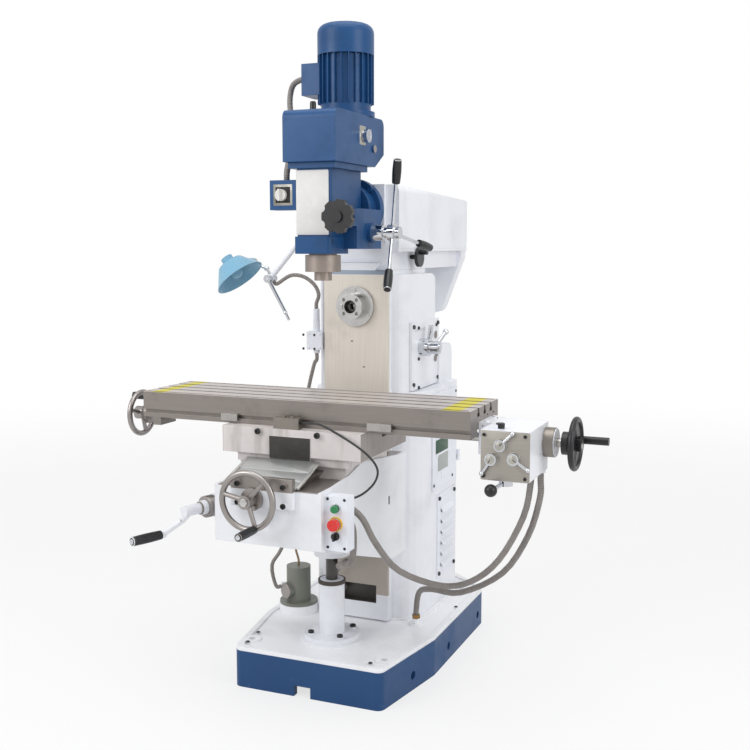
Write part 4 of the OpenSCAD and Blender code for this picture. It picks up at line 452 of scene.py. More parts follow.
# %% [markdown]
# ## Trees that repeat a shape
# Screws, bolts, ribs and scale marks repeat one small shape, and a hose repeats one ring along a
# path. Copying objects by hand would do, but then a change to one has to be made in all. A
# geometry tree keeps the shape once. The trees end in Realize Instances and Set Material, so the
# result is a plain mesh, and the modifier is then removed.

# %% Running a geometry tree
def new_tree(name, inputs):
    tree = bpy.data.node_groups.new(name, "GeometryNodeTree")
    face = tree.interface
    face.new_socket("Geometry", in_out="INPUT", socket_type="NodeSocketGeometry")
    for label, kind, value in inputs:
        socket = face.new_socket(label, in_out="INPUT", socket_type=kind)
        if value is not None:
            socket.default_value = value
    face.new_socket("Geometry", in_out="OUTPUT", socket_type="NodeSocketGeometry")
    graph = Graph(tree)
    source = tree.nodes.new("NodeGroupInput")
    graph.given = {s.name: Wire(graph, s) for s in source.outputs if s.name}
    return graph


def close_tree(graph, geometry):
    solid = graph.add("GeometryNodeRealizeInstances", {}, {0: geometry})
    coated = graph.add("GeometryNodeSetMaterial", {}, {"Geometry": solid, "Material": graph.given["Finish"]})
    end = graph.tree.nodes.new("NodeGroupOutput")
    graph.tree.links.new(coated.socket, end.inputs[0])
    return graph.tree


def grown(name, tree, mesh, smooth=True, **values):
    """Runs the tree on a mesh and returns a plain object: the modifier is gone afterwards."""
    start = linked(name + "_start", mesh)
    step = start.modifiers.new("tree", "NODES")
    step.node_group = tree
    for item in tree.interface.items_tree:
        if item.in_out == "INPUT" and item.name in values:
            step[item.identifier] = values[item.name]
    seen = start.evaluated_get(bpy.context.evaluated_depsgraph_get())
    plain = bpy.data.meshes.new_from_object(seen)
    bpy.data.objects.remove(start)
    plain.name = name
    if smooth:
        plain.shade_smooth()
    return linked(name, plain)


def points_mesh(name, points, chain=False):
    mesh = bpy.data.meshes.new(name)
    edges = [(i, i + 1) for i in range(len(points) - 1)] if chain else []
    mesh.from_pydata([tuple(p) for p in points], edges, [])
    return mesh


print("trees can be run")

# %% [markdown]
# ## Cables and conduits
# Each conduit is a length of hose that hangs between two glands. Its way is a smooth curve through
# given places: straight out of the gland, then down under its own weight. The tree resamples that
# line, lets the hose swell and shrink in a wave so that it looks ribbed, and stores how far along
# each ring lies. The finish reads that to paint shade into each groove and a highlight onto each rib.

# %% Conduit tree and finish
g = new_tree("ribbed_hose", [("Radius", "NodeSocketFloat", 0.01), ("Pitch", "NodeSocketFloat", 0.009),
                             ("Rib", "NodeSocketFloat", 0.0006), ("Step", "NodeSocketFloat", 0.003),
                             ("Sides", "NodeSocketInt", 16), ("Finish", "NodeSocketMaterial", None)])
line = g.add("GeometryNodeMeshToCurve", {}, {0: g.given["Geometry"]})
line = g.add("GeometryNodeResampleCurve", {"mode": "LENGTH"}, {"Curve": line, "Length": g.given["Step"]})
length = g.add("GeometryNodeSplineParameter", out="Length")
line = g.add("GeometryNodeStoreNamedAttribute", {"data_type": "FLOAT", "domain": "POINT"},
             {"Geometry": line, "Name": "along", "Value": length})
wave = (length / g.given["Pitch"] * (2 * math.pi)).math("SINE")
ring = g.add("GeometryNodeCurvePrimitiveCircle", {},
             {"Resolution": g.given["Sides"], "Radius": g.given["Radius"]})
swell = 1 + (wave - 1) * g.given["Rib"] / g.given["Radius"]
tube = g.add("GeometryNodeCurveToMesh", {},
             {"Curve": line, "Profile Curve": ring, "Scale": swell, "Fill Caps": True})
hose_tree = close_tree(g, tube)


def hose_finish(name, code, pitch, rough=0.45):
    f = Finish(name)
    along = f.add("ShaderNodeAttribute", {"attribute_name": "along"}, out="Fac")
    # painted shade and highlight: each groove is painted dark and each rib light, in step with the ribs'
    # swell
    band = (along / pitch * (2 * math.pi)).math("SINE") * 0.5 + 0.5
    base = paint(code)
    colour = f.mix(darker(base, 0.62), darker(base, 1.15), band)
    grime = f.fade(f.noise(16, 4, 0.6), 0.45, 0.7)
    colour = f.mix(colour, darker(base, 0.6), grime * 0.4)
    return f.done(base=colour, rough=rough + grime * 0.2, normal=f.bump(f.noise(300, 2), 0.0001))


rib_pitch = 0.005
conduit_grey = hose_finish("conduit_grey", "8e8884", rib_pitch)
wire_black = moulded("wire_black", "1b1b1d", 0.4)
wire_brown = moulded("wire_brown", "8a7256", 0.5)
print("hose tree has", len(hose_tree.nodes), "nodes")

# %% The way of a hose
per_place = 4


def way(places):
    """A smooth line through places given in millimetres, as points in metres."""
    p = [Vector(q) / 1000 for q in places]
    line = []
    for k in range(len(p) - 1):
        a, b, c, d = p[max(k - 1, 0)], p[k], p[k + 1], p[min(k + 2, len(p) - 1)]
        for i in range(per_place):
            t = i / per_place
            line.append((2 * b + (c - a) * t + (2 * a - 5 * b + 4 * c - d) * t * t
                         + (3 * b - a - 3 * c + d) * t ** 3) / 2)
    return line + [p[-1]]


def length_of(line):
    return sum((b - a).length for a, b in zip(line, line[1:]))


def hose(name, line, radius, finish, rib=0.0, step=0.00125, sides=16, stiffness="medium", lay="hanging"):
    mesh = points_mesh(name + "_line", line, chain=True)
    tube = grown(name, hose_tree, mesh, Radius=radius, Pitch=rib_pitch, Rib=rib, Step=step, Sides=sides,
                 Finish=finish)
    length_of(line)
    2 * radius
    print(name, round(length_of(line), 3), "m,", len(tube.data.polygons), "faces")
    return tube


print("ways have", per_place, "points for each place")

# %% [markdown]
# ## The two conduits of the table's gearbox
# They hang in the air from parts that move apart. One long piece could only bend between two
# bodies, and it would tear off when a third one moves. So each conduit is made in pieces, one for
# each pair of bodies that one joint joins: stand to knee, knee to saddle, saddle to table.

# %% Conduits in pieces
conduit_r, hose_r, cable_r = 0.010, 0.007, 0.004
panel_way = way([[234, -639.7, 685], [234, -622, 685], [260, -600, 650], [290, -570, 570], [328, -480, 468],
                 [400, -310, 380], [500, -306, 404], [600, -338, 496], [676, -346, 640], [698, -350, 752],
                 [698, -350, 792.7]])
base_way = way([[217, -35, 156.3], [217, -35, 182], [240, -66, 262], [330, -190, 322], [450, -250, 345],
                [590, -262, 430], [680, -300, 570], [724, -340, 700], [727, -348, 758], [727, -348, 792.7]])


def in_pieces(name, line, cuts, pairs, **more):
    """Cuts a way at point numbers into one stretch for each pair of bodies."""
    ends = [0] + cuts + [len(line) - 1]
    for k, (first, second) in enumerate(pairs):
        part = line[ends[k]:ends[k + 1] + 1]
        tube = hose("%s_%d" % (name, k + 1), part, **more)
        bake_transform(tube)
        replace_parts(tube, "feed_conduits")


in_pieces("panel_conduit", panel_way, [5 * per_place + 2], [("knee", "saddle"), ("saddle", "table")],
          radius=conduit_r, finish=conduit_grey, rib=0.0005)
in_pieces("base_conduit", base_way, [3 * per_place, 6 * per_place],
          [("stand", "knee"), ("knee", "saddle"), ("saddle", "table")],
          radius=conduit_r, finish=conduit_grey, rib=0.0005)

# %% The other hoses and cables
knee_way = way([[225, -639.7, 650], [225, -622, 650], [226, -596, 612], [210, -560, 536], [177, -512, 482],
                [110, -420, 448], [56, -330, 408], [34, -215, 390], [-20, -170, 350], [-62, -110, 280],
                [-62, -60, 232], [-62, -20.3, 232]])
pump_way = way([[-285.3, -88.1, 225], [-303, -97, 225], [-325, -84, 296], [-296, -64, 356],
                [-244, -56, 500], [-214, -52, 700], [-196, -52, 900], [-166, -52, 1030],
                [-155, -50, 1052], [-155, -50, 1075.7]])
motor_way = way([[-229, -60, 300.3], [-229, -60, 322], [-250, -44, 380], [-252, 10, 500], [-246, 80, 600],
                 [-244, 124, 676], [-232, 130, 700], [-215.3, 130, 700]])
nozzle_way = way([[-155, -50, 1231.3], [-155, -50, 1250], [-145, -52, 1280], [-160, -54, 1314],
                  [-200, -57, 1342], [-250, -60, 1346], [-304, -60, 1316], [-316.6, -60, 1324.8]])
head_way = way([[-137.3, -140, 2001], [-156, -140, 2001], [-192, -140, 1984], [-204, -142, 1934],
                [-190, -160, 1860], [-150, -240, 1770],
                [-112, -340, 1700], [-106, -359, 1676], [-106, -359, 1655.3]])

knee_cable = hose("knee_cable", knee_way, conduit_r, conduit_grey, rib=0.0005)
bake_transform(knee_cable)
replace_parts(knee_cable, "knee_cables") or knee_cable
pump_hose = hose("pump_hose", pump_way, hose_r, conduit_grey, rib=0.0004, sides=14)
motor_cable = hose("motor_cable", motor_way, cable_r, wire_brown, sides=10)
for piece in (pump_hose, motor_cable):
    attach(piece, "stand")
nozzle_hose = hose("nozzle_hose", nozzle_way, hose_r, conduit_grey, rib=0.0004, sides=14)
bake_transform(nozzle_hose)
for piece in (pump_hose, motor_cable, nozzle_hose):
    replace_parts(piece, "coolant_lines")
head_cable = hose("head_cable", head_way, conduit_r, conduit_grey, rib=0.0005)
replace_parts(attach(head_cable, "head"), "head_conduit")
print("hoses done")

# %% [markdown]
# ## Shaping small parts
# Two ways of making a part cover most of what is left. A turned part is a profile spun round an
# axis, as on a lathe. A plate is an outline with round corners, given a thickness and a small
# bevel. Both are made where they belong, in millimetres turned to metres, and the bevel is what
# makes a small part catch the light like a real one.

# %% Turned parts and plates
def facing(at, out, up=None):
    """A frame at a point in millimetres whose Z looks out of the surface and whose Y points up."""
    z = Vector(out).normalized()
    flat_face = abs(z.z) > 0.99
    x = Vector(up or ((0, 1, 0) if flat_face else (0, 0, 1))).cross(z).normalized()
    turn = Matrix((x, z.cross(x), z)).transposed().to_4x4()
    return Matrix.Translation(Vector(at) / 1000) @ turn


def kept(name, shape, frame_at, finish, body=None, sharp=35):
    """Writes a bmesh made in millimetres into the scene, as an object at the origin."""
    bmesh.ops.remove_doubles(shape, verts=shape.verts, dist=1e-4)
    bmesh.ops.recalc_face_normals(shape, faces=shape.faces)
    mesh = bpy.data.meshes.new(name)
    shape.to_mesh(mesh)
    shape.free()
    mesh.transform(Matrix.Scale(0.001, 4))
    mesh.transform(frame_at)
    mesh.shade_smooth()
    mesh.set_sharp_from_angle(angle=math.radians(sharp))
    mesh.materials.append(finish)
    thing = linked(name, mesh)
    if body:
        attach(thing, body)
    return thing


def level_ring(shape, r, h, sides):
    """Vertices round a circle at one height."""
    turns = [2 * math.pi * k / sides for k in range(sides)]
    return [shape.verts.new((r * math.cos(a), r * math.sin(a), h)) for a in turns]


def bridge(shape, rings):
    """Joins each ring of vertices to the next one with a band of faces."""
    for low, high in zip(rings, rings[1:]):
        for k in range(len(low)):
            n = (k + 1) % len(low)
            shape.faces.new((low[k], low[n], high[n], high[k]))


def spun(profile, sides=40):
    """Spins (radius, height) pairs round Z. A pair of no radius becomes the tip of a fan."""
    shape = bmesh.new()
    rings = [level_ring(shape, r, h, sides) if r >= 1e-6 else [shape.verts.new((0, 0, h))]
             for r, h in profile]
    for low, high in zip(rings, rings[1:]):
        if len(low) == len(high) == sides:
            bridge(shape, (low, high))
            continue
        for k in range(sides):
            n = (k + 1) % sides
            if len(high) > 1:
                shape.faces.new((low[0], high[k], high[n]))
            elif len(low) > 1:
                shape.faces.new((low[k], low[n], high[0]))
    for ring, flip in ((rings[0], True), (rings[-1], False)):
        if len(ring) > 1:
            shape.faces.new(ring[::-1] if flip else ring)
    return shape


def soft_disc(r, h, edge=0.6, base=0.0):
    """The profile of a flat disc with a rounded outer edge."""
    e = min(edge, r * 0.4, h * 0.45)
    steps = [(r - e + e * math.sin(a), h - e + e * math.cos(a)) for a in
             (math.pi / 2, math.pi / 3, math.pi / 6, 0)]
    return [(0, base), (r, base)] + steps + [(0, h)]


def flat_plate(w, h, t, corner, edge=0.4):
    """A plate w by h with round corners, t thick, its back on the frame's plane."""
    shape = bmesh.new()
    outline = []
    for cx, cy, start in ((1, 1, 0), (-1, 1, 90), (-1, -1, 180), (1, -1, 270)):
        for k in range(5):
            a = math.radians(start + 90 * k / 4)
            outline.append((cx * (w / 2 - corner) + corner * math.cos(a),
                            cy * (h / 2 - corner) + corner * math.sin(a)))
    levels = [(0, 0), (0, t - edge), (edge * 0.3, t - edge * 0.3), (edge, t)]
    rings = [[shape.verts.new((x - inset * (1 if x > 0 else -1), y - inset * (1 if y > 0 else -1), z))
              for x, y in outline] for inset, z in levels]
    bridge(shape, rings)
    shape.faces.new(rings[0][::-1])
    shape.faces.new(rings[-1])
    return shape


print("shapes are ready")

# %% [markdown]
# ## Screws and bolts
# The machine is held together by screws with tall cap heads and low pan heads, each with a recess.
# One head of each kind is modelled, and a tree puts it on every point of a small mesh of points,
# turned by a random angle with a fixed seed so that their facets don't line up.

# %% Screw tree
def cap_screw(kind):
    """A screw head of radius 1 with a round recess, as (radius, height) pairs spun round Z."""
    shape = bmesh.new()
    levels = {"cap": [(1, 0), (1, 0.62), (0.93, 0.72), (0.6, 0.72), (0.55, 0.3)],
              "pan": [(1, 0), (0.97, 0.16), (0.8, 0.34), (0.42, 0.42), (0.38, 0.2)]}[kind]
    rings = [level_ring(shape, r, h, 18) for r, h in levels]
    bridge(shape, rings)
    shape.faces.new(rings[-1])
    shape.faces.new(rings[0][::-1])
    bmesh.ops.recalc_face_normals(shape, faces=shape.faces)
    mesh = bpy.data.meshes.new("screw_" + kind)
    shape.to_mesh(mesh)
    shape.free()
    return linked("screw_" + kind, mesh)


g = new_tree("screws", [("Screw", "NodeSocketObject", None), ("Size", "NodeSocketFloat", 0.004),
                        ("Seed", "NodeSocketInt", 7), ("Finish", "NodeSocketMaterial", None)])
one = g.add("GeometryNodeObjectInfo", {"transform_space": "ORIGINAL"}, {"Object": g.given["Screw"]},
            "Geometry")
dots = g.add("GeometryNodeMeshToPoints", {}, {"Mesh": g.given["Geometry"]})
full_turn = 6.283
angle = g.add("FunctionNodeRandomValue", {"data_type": "FLOAT"}, {3: full_turn, "Seed": g.given["Seed"]}, 1)
spin = g.add("FunctionNodeAxisAngleToRotation", {}, {"Axis": (0, 0, 1), "Angle": angle})
size = g.add("ShaderNodeCombineXYZ", {}, {axis: g.given["Size"] for axis in range(3)})
many = g.add("GeometryNodeInstanceOnPoints", {},
             {"Points": dots, "Instance": one, "Rotation": spin, "Scale": size})
screw_tree = close_tree(g, many)
screw_shapes = {kind: cap_screw(kind) for kind in ("cap", "pan")}


def screws(name, points, out, radius, body, kind="cap"):
    """Heads on points in millimetres, all facing out of the same plane."""
    frame_at = facing(points[0], out)
    back = frame_at.inverted()
    local = [back @ (Vector(p) / 1000) for p in points]
    mesh = points_mesh(name + "_points", local)
    heads = grown(name, screw_tree, mesh, smooth=False, Screw=screw_shapes[kind], Size=radius / 1000,
                  Seed=11, Finish=black_steel)
    heads.data.transform(frame_at)
    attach(heads, body)
    return heads


print("screw tree has", len(screw_tree.nodes), "nodes")

# %% [markdown]
# ## Marks round an axis
# The marks of a dial stand on a circle. They could be cut into the ring, but raised bars cost less.
# The tree places one small bar on each point of a circle and turns it to face outwards.

# %% Ring tree
g = new_tree("ring_of_bars", [("Count", "NodeSocketInt", 40), ("Radius", "NodeSocketFloat", 0.03),
                              ("Bar", "NodeSocketVector", None), ("Finish", "NodeSocketMaterial", None)])
circle = g.add("GeometryNodeMeshCircle", {}, {"Vertices": g.given["Count"], "Radius": g.given["Radius"]})
dots = g.add("GeometryNodeMeshToPoints", {}, {"Mesh": circle})
number = g.add("GeometryNodeInputIndex")
turn_by = number * (2 * math.pi) / g.given["Count"]
turn = g.add("FunctionNodeAxisAngleToRotation", {}, {"Axis": (0, 0, 1), "Angle": turn_by})
bar = g.add("GeometryNodeMeshCube", {}, {"Size": g.given["Bar"]})
many = g.add("GeometryNodeInstanceOnPoints", {}, {"Points": dots, "Instance": bar, "Rotation": turn})
ring_tree = close_tree(g, many)


def ring_of(name, frame_at, count, radius, bar, finish, body):
    """Bars of a size (outwards, round, along the axis), in millimetres."""
    mesh = points_mesh(name + "_seed", [(0, 0, 0)])
    ring = grown(name, ring_tree, mesh, smooth=False, Count=count, Radius=radius / 1000,
                 Bar=[b / 1000 for b in bar], Finish=finish)
    ring.data.transform(frame_at)
    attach(ring, body)
    return ring


print("ring tree has", len(ring_tree.nodes), "nodes")

# %% [markdown]
# ## Plates, screws and plugs of the castings
# The small plates, screw heads and plugs were fitted after the paint, so they are separate pieces
# laid on the solids. They are cheap to make with the shapes above, and they give the big plain
# faces their scale. Each list holds places in millimetres, read from the photograph.

# %% Bare plates
gear_plate = ground_metal("gearbox_plate", "a8a39b", "x", rough=0.45)
edge_metal = ground_metal("edge_metal", "cfcfcb", "x", rough=0.34)
pale_plate = moulded("bare_pale_plate", "a9adab", 0.4, dust=0.05)
wiper_felt = moulded("wiper_felt", "4a443e", 0.8)


def plate(name, at, out, size, finish, body, thick=0.8, corner=2.0, up=None):
    """A thin plate w by h, centred at a place and facing out."""
    w, h = size
    shape = flat_plate(w, h, thick, corner, edge=min(0.3, thick * 0.4))
    return kept(name, shape, facing(at, out, up), finish, body)


front, rear, right, left, upward = (0, -1, 0), (0, 1, 0), (1, 0, 0), (-1, 0, 0), (0, 0, 1)
table_mid, screw_z, deck_z = -376.5, 880, 138       # the table's centre line and screw, the base's deck
panel_y, gearbox_y, head_y = -690, -563, -388       # front faces that carry several pieces
cheek_x, cabinet_x = 178, 222                       # and two faces on the right
plate("head_plate", (-2.5, head_y, 1584), front, (112, 200), bare_plate, "head", 1.2, 3)
plate("switch_plate", (-106, head_y, 1609), front, (67, 66), silver_plate, "head", 0.16, 2)
plate("switch_field", (-106, head_y - 0.15, 1609), front, (52, 50), black_plate, "head", 0.1, 1)
plate("speed_plate", (90, -206, 1802), right, (50, 60), silver_plate, "head", 0.2, 3)
plate("gearbox_plate", (677, gearbox_y, 865.5), front, (142, 141), gear_plate, "table", 0.5, 3)
plate("saddle_plate", (-1, -562, 837.3), front, (139, 69), black_plate, "saddle", 0.8, 2)
plate("door_plate_green", (cabinet_x, 214, 729), right, (132, 50), green_plate, "door", 0.8, 2)
plate("door_plate_pale", (cabinet_x, 228, 666), right, (106, 60), pale_plate, "door", 0.8, 2)
# painted shade: the slot plates below are dark sheets that stand in for the shade inside slots
plate("cheek_slot", (177, -191, 609), right, (10, 30), recess_shade, "knee", 0.3, 4.5)
plate("collar_slot", (62, -384, 1462), front, (5, 18), recess_shade, "head", 0.3, 2)
for k, (y, z, w) in enumerate(((-487, 969, 10), (-428, 968, 12), (-383, 943, 8), (-532, 942, 8))):
    plate("bracket_slot_%d" % k, (601, y, z), right, (w, 5), recess_shade, "table", 0.3, 2)
# painted shade: three small dark plates stand in for the shade in small recesses of the slideway
for k, (x, z) in enumerate(((-15, 1123), (30, 1035), (-4, 949))):
    plate("way_mark_%d" % k, (x, -60, z), front, (9, 3.4), recess_shade, "stand", 0.15, 1.2)
for k in range(7):
    long_mark = 5 if k % 3 == 0 else 0
    plate("gear_mark_%d" % k, (cheek_x, 54 + 14 * k, 1157), right, (2, 9 + long_mark), black_plate,
          "stand", 0.2, 0.8)
print("plates fitted")

# %% Screws
door_holes = [(335, 592), (130, 592), (130, 908), (370, 908)]
screws("door_screws", [(221.3, y, z) for y, z in door_holes], right, 6, "door", kind="pan")
screws("louvre_screws", [(219, y, z) for y in (196, 364) for z in (248, 531)], right, 7.6, "stand")
side_holes = [(79, 1164), (264, 1163), (80, 1055), (267, 1053), (82, 953)]
screws("side_plate_screws", [(cheek_x, y, z) for y, z in side_holes], right, 6, "stand")
screws("side_plate_corners", [(cheek_x, y, z) for y in (31, 280) for z in (968, 1170)], right, 7.5, "stand")
gearbox_holes = [(615, 924), (734, 925), (614, 805), (735, 805)]
screws("gearbox_screws", [(x, -563.5, z) for x, z in gearbox_holes], front, 5, "table")
panel_holes = [(187, 727), (240, 727), (187, 584), (240, 584)]
screws("panel_screws", [(x, panel_y, z) for x, z in panel_holes], front, 4.5, "knee", kind="pan")
screws("bracket_bolts", [(x, -736, z) for x in (-84, 67) for z in (703, 759)], front, 8.4, "knee")
screws("saddle_knobs", [(x, -566, 884) for x in (-107, 95)], front, 9.6, "saddle")
bolt_circle, bolt_face, tube_y = 75, deck_z + 19 + 5, -265
screws("tube_bolts", [(bolt_circle * math.cos(a), tube_y + bolt_circle * math.sin(a), bolt_face)
                      for a in [math.pi / 4 * odd for odd in (1, 3, 5, 7)]], upward, 10.4, "stand")
screws("valve_screws", [(x, -111.6, z) for x in (-176, -134) for z in (1096, 1144)], front, 4.6, "stand",
       kind="pan")
plug_places = [(-249, -329), (-239, -418), (210, -429), (294, 175)]
screws("deck_plugs", [(x, y, deck_z) for x, y in plug_places], upward, 7, "stand", kind="pan")
for thing in screw_shapes.values():
    bpy.data.objects.remove(thing)
print("screws fitted")


# %% [markdown]
# ## Rings, caps and grips
# Anything turned comes from a profile. A ring has a profile that closes on itself, and a grip is a
# soft barrel with a metal cap, slipped over the CAD's plain bar so that two materials meet there.

# %% Rings and grips
def ring(name, at, out, inner, outer, height, finish, body, edge=0.7, sides=48):
    """A turned ring with rounded edges, standing on a face."""
    e = min(edge, (outer - inner) * 0.3, height * 0.4)
    profile = [(inner, 0), (outer, 0), (outer, height - e), (outer - e * 0.3, height - e * 0.3),
               (outer - e, height), (inner + e, height), (inner + e * 0.3, height - e * 0.3),
               (inner, height - e)]
    shape = bmesh.new()
    turns = [level_ring(shape, r, h, sides) for r, h in profile]
    bridge(shape, turns + turns[:1])
    return kept(name, shape, facing(at, out), finish, body)


def turned(name, at, out, profile, finish, body, sides=40):
    """A solid turned part, standing on a face."""
    return kept(name, spun(profile, sides), facing(at, out), finish, body)


def grip(name, root, along, radius, length, body, cap=True, swell=1.08):
    """A hand grip over a plain bar: a soft barrel, and a small bright cap on its end."""
    steps = 14
    barrel = [(0, 0), (radius * 0.9, 0)]
    for k in range(steps + 1):
        t = k / steps
        barrel.append((radius * (1.02 + (swell - 1) * math.sin(math.pi * t)), 1 + (length - 4) * t))
    barrel += [(radius * 0.93, length - 1.2), (radius * 0.7, length), (0, length)]
    turned(name, root, along, barrel, black_plastic, body)
    if cap:
        tip = Vector(root) + Vector(along).normalized() * (length - 0.2)
        dome = [(0, 0), (radius * 0.62, 0), (radius * 0.6, 1.6), (radius * 0.35, 2.6), (0, 3)]
        turned(name + "_cap", tip, along, dome, chrome, body)


print("rings and grips are ready")

# %% [markdown]
# ## The crank that lifts the knee
# Its shaft points forwards and a little to the left, and so does its grip. Its arm points down and
# to the left. Working each place out by hand would hide that, so the places are given in the
# crank's own frame and turned into the machine's by one function.

# %% The crank's grip and dial
lean, arm_turn, arm_long = math.radians(-20), math.radians(-139), 135
shaft_x, shaft_y, shaft_z = -238, -625, 652


def crank_place(x, y, z):
    """A place in the crank's own frame, whose -Y looks out along its shaft."""
    return Vector((shaft_x + x * math.cos(lean) - y * math.sin(lean),
                   shaft_y + x * math.sin(lean) + y * math.cos(lean), shaft_z + z))


crank_out = (math.sin(lean), -math.cos(lean), 0)
tip_x, tip_z = arm_long * math.cos(arm_turn), arm_long * math.sin(arm_turn)
grip("crank_grip", crank_place(tip_x, -123.8, tip_z), crank_out, 14, 106, "crank")
ring("crank_dial", crank_place(0, 0.2 - 0.3, 0), crank_out, 22.3, 33.6, 30.6, cast_silver, "crank", 1.2)
ring_of("crank_dial_marks", facing(crank_place(0, -24, 0), crank_out), 60, 33.5, (0.5, 0.5, 7),
        black_plate, "crank")
ring("crank_hub_ring", crank_place(0, -48, 0), crank_out, 17.2, 19.5, 5, dull_steel, "crank")
turned("crank_pin", crank_place(tip_x * 0.45, -79 - 8.2, tip_z * 0.45), crank_out, soft_disc(5, 2.4, 0.8),
       bright, "crank")
print("the crank's grip stands", round(math.hypot(tip_x, tip_z)), "mm from its shaft")

# %% Grips of the wheels and the quill lever
wheel_at = Vector((-35, -765, 715))
handle_r, handle_turn = 83.5, math.radians(-72)
handle_at = Vector((handle_r * math.cos(handle_turn), -9.1, handle_r * math.sin(handle_turn)))
grip("cross_grip", wheel_at + handle_at, front, 12, 92, "cross_feed")
ring("cross_dial", (wheel_at.x, -744.5, wheel_at.z), rear, 16, 34, 13.6, cast_silver, "cross_feed", 1)
turned("cross_nut", (wheel_at.x, -785, wheel_at.z), front, soft_disc(13, 5, 1.4), bright, "cross_feed",
       sides=6)
grip("left_grip", (-665 - 9.1, table_mid + 50.2, screw_z + 50.2), left, 12, 61, "long_feed")
lever_middle, lever_long, lever_rise = Vector((188.3, -193, 1492)), 237, 46
for k, turn_by in enumerate((-18, -138, 102)):
    a = math.radians(turn_by)
    reach = Vector((lever_rise, lever_long * math.sin(a), lever_long * math.cos(a)))
    grip("quill_grip_%d" % k, lever_middle + reach * 0.68, reach, 12.5, 78, "quill_lever", cap=False,
         swell=1.14)
ball_r = 18.4
ball = [(ball_r * math.sin(math.pi * k / 20), -ball_r * math.cos(math.pi * k / 20)) for k in range(21)]
turned("feed_ball", (640, -575, 767), front, [(0 if r < 1e-3 else r, h) for r, h in ball], black_plastic,
       "feed_lever", sides=48)
print("grips fitted")

# %% Rings, plugs and dial faces
button_x, gland_bore = 213, 10.6
ring("stop_collar", (button_x, panel_y, 655), front, 17.4, 21, 4.4, yellow_plastic, "knee")
ring("start_collar", (button_x, panel_y, 700), front, 11.4, 15.5, 4, chrome, "knee")
ring("selector_collar", (button_x, panel_y, 619), front, 11.6, 15.5, 4, chrome, "knee")
ring("tube_wiper", (0, tube_y, 327.8), upward, 40, 46.4, 12.6, wiper_felt, "stand")
ring("conduit_nut", (217, -35, 156.1), upward, gland_bore, 15, 13, brass, "stand", sides=6)
for k, (x, z) in enumerate(((234, 685), (225, 650))):
    ring("box_gland_%d" % (k + 1), (x, -639.9, z), rear, gland_bore, 14.5, 7, black_plastic, "knee")
ring("stub_ring", (747, table_mid, screw_z), right, 41.7, 44, 30, dull_steel, "table")
ring("motor_gland", (-137.2, -140, 2001), left, gland_bore, 15, 8, dull_steel, "head")
for k, x in enumerate((698, 727)):
    ring("gear_gland_%d" % k, (x, -350 + 2 * k, 792.9), (0, 0, -1), gland_bore, 14, 12, chrome, "table")
pump_out = Vector((-28, -52, 0)).normalized()
turned("pump_disc", Vector((-257, -112, 216)) - pump_out * 4, pump_out, soft_disc(28.6, 5, 1.4), cast_silver,
       "stand")
spout = Vector((-56, -28, 0)).normalized()
turned("pump_spout", Vector((-285, -88, 225)) - spout * 17, spout, soft_disc(13.6, 17.1, 1.2), chrome,
       "stand")
turned("filler_cap", (651, -524, 938), upward, soft_disc(12.6, 15, 2), black_plastic, "table")
turned("black_plug", (-41, -300, 1868), upward,
       [(0, 0), (15, 0), (15, 4), (10, 6), (10, 30), (8, 36), (0, 37)], black_plastic, "head")
turned("oval_plug", (94.8, -116, 1766), right, soft_disc(12.6, 1.2, 0.5), cast_silver, "head")
turned("head_dowel", (76, -409, 1785), front, soft_disc(4.5, 2, 0.8), bright, "head")
for k in range(2):
    turned("column_plug_%d" % k, (180.9, 252, 1128 - 85 * k), right, soft_disc(14.5, 1.2, 0.4), dull_steel,
           "stand")
turned("wheel_web", (834, table_mid, screw_z), right, [(0, 0), (64, 0), (64, 3), (40, 5), (0, 5)],
       black_plastic, "long_feed")
knob_y = -577.25
for k, (x, z, turn_by) in enumerate(((663, 896, 45), (637, 855, -122), (702, 860, -34))):
    a = math.radians(turn_by)
    body = "dial_%d" % (k + 1)
    ring("dial_ring_%d" % k, (x, gearbox_y - 0.2, z), front, 17.1, 19.5, 3, silver_plate, "table")
    plate("dial_face_%d" % k, (x, knob_y, z), front, (25, 25), silver_plate, body, 0.5, 12.4)
    mark_at = (x + 6 * math.cos(a), knob_y - 0.45, z + 6 * math.sin(a))
    plate("dial_mark_%d" % k, mark_at, front, (2.4, 12), black_plate, body, 0.3, 0.6,
          up=(math.cos(a), 0, math.sin(a)))
print("rings and plugs fitted")

# %% [markdown]
# ## The limit switch's cable
# A thin black cable leaves the switch box on the saddle, droops beside the knee and goes into the
# pushbutton box. It is one more run of the hose tree, without ribs.

# %% Limit switch's cable
limit_way = way([[28, -545, 914], [62, -549, 917], [104, -556, 915], [167, -565, 891], [240, -575, 856],
                 [284, -585, 826], [303, -592, 796], [294, -600, 762], [262, -608, 730],
                 [228, -614, 714], [205, -622, 712], [205, -640.5, 715]])
limit_cable = hose("limit_cable", limit_way, 0.0034, wire_black, step=0.004, sides=10)
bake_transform(limit_cable)
print("limit switch cable is", round(length_of(limit_way), 3), "m")

# %% [markdown]
# ## The telescopic cover of the cross ways
# Three thin leaves overlap like roof tiles, and a narrow edge runs down each side. When the saddle
# comes forward the real leaves slide over each other. Sliding leaves would need a body and a joint
# each, so here the leaves stay where they are made.

# %% Leaves and edges
cover_x = -22.5
cover_back, cover_front = Vector((cover_x, -560.3, 800.6)), Vector((cover_x, -709.7, 751.6))
down = (cover_front - cover_back).normalized()
above = Vector((0, down.z, -down.y))
cover_long = (cover_front - cover_back).length


def cover_piece(name, x, start, end, width, lift, thick, finish):
    """A strip of the cover, from one share of its length to another."""
    at = cover_back + down * (cover_long * (start + end) / 2) + above * lift
    piece = plate(name, (x, at.y, at.z), above, (width, cover_long * (end - start)), finish, None, thick, 1.2)
    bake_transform(piece)
    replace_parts(piece, "way_cover") or piece


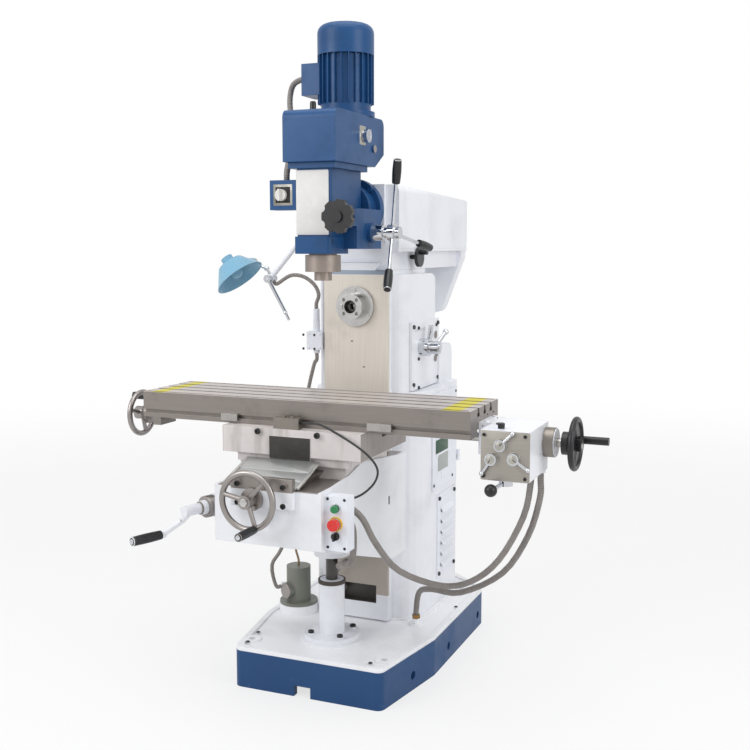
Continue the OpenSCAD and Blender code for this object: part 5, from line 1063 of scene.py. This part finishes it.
for k, (start, end) in enumerate(((0.0, 0.42), (0.34, 0.76), (0.68, 1.0))):
    cover_piece("cover_leaf_%d" % (k + 1), cover_x, start, end, 253, -0.4 - 1.4 * k, 1.3, tray_metal)
for k, x in enumerate((-144, 99)):
    cover_piece("cover_edge_%d" % (k + 1), x, 0.01, 0.99, 9, -0.6, 2.6, edge_metal)
print("cover fitted")

# %% [markdown]
# ## Floor, backdrop and light
# The photograph is cut out on white. More lamps would only bleach the paint, so the white comes
# from the backdrop instead: to the camera, to mirrors and to glass it is plain white, while the
# light that it really gives is lower. Three large soft lamps light the machine from the left
# front, the right and above, as in a showroom.

# %% World
world = bpy.data.worlds.new("showroom")
scene.world = world
world.use_nodes = True
sky = Graph(world.node_tree)
rays = sky.add("ShaderNodeLightPath").socket.node
through_glass = Wire(sky, rays.outputs["Is Transmission Ray"])
seen = Wire(sky, rays.outputs["Is Camera Ray"]).math("MAXIMUM", through_glass)
mirror_white, light_given = 0.85, 0.62
strength = seen.math("MAXIMUM", Wire(sky, rays.outputs["Is Glossy Ray"]) * mirror_white)
back = world.node_tree.nodes["Background"]
back.inputs["Color"].default_value = (1, 1, 1, 1)
world.node_tree.links.new(strength.math("MAXIMUM", light_given).socket, back.inputs["Strength"])
print("world ready")

# %% Floor
floor_mesh = bpy.data.meshes.new("floor")
shape = bmesh.new()
bmesh.ops.create_grid(shape, x_segments=1, y_segments=1, size=30)
shape.to_mesh(floor_mesh)
shape.free()
floor = linked("floor", floor_mesh)
f = Finish("pale_floor")
light_path = f.add("ShaderNodeLightPath").socket.node
seen = Wire(f, light_path.outputs["Is Camera Ray"])
seen = seen.math("MAXIMUM", Wire(f, light_path.outputs["Is Glossy Ray"]) * 0.6)
far = f.fade((f.x * f.x + f.y * f.y).math("SQRT"), 1.6, 7.0)
f.done(base=(0.8, 0.8, 0.8, 1), rough=0.7)
white = f.add("ShaderNodeEmission", {}, {"Color": (1, 1, 1, 1), "Strength": 1.0})
glow = seen * (far * 0.28 + 0.72)
both = f.add("ShaderNodeMixShader", {}, {0: glow, 1: Wire(f, f.shader.outputs[0]), 2: white})
f.tree.links.new(both.socket, f.tree.nodes["Material Output"].inputs["Surface"])
floor_mesh.materials.append(f.material)
print("floor ready")

# %% Lamps
def soft_lamp(name, at, aim, size, power):
    lamp = bpy.data.lights.new(name, "AREA")
    lamp.shape = "RECTANGLE"
    lamp.size, lamp.size_y = size
    lamp.energy = power
    holder = linked(name, lamp)
    holder.location = at
    holder.rotation_euler = (Vector(aim) - Vector(at)).to_track_quat("-Z", "Y").to_euler()


soft_lamp("front_left", (-2.4, -3.4, 3.0), (0, -0.2, 1.0), (2.2, 2.2), 70)
soft_lamp("right_side", (3.6, -1.2, 2.4), (0, -0.1, 1.0), (2.0, 2.4), 42)
soft_lamp("overhead", (0.2, -0.6, 4.4), (0, -0.1, 0.8), (3.0, 3.0), 60)
scene.view_settings.view_transform = "Standard"
print("lamps ready")
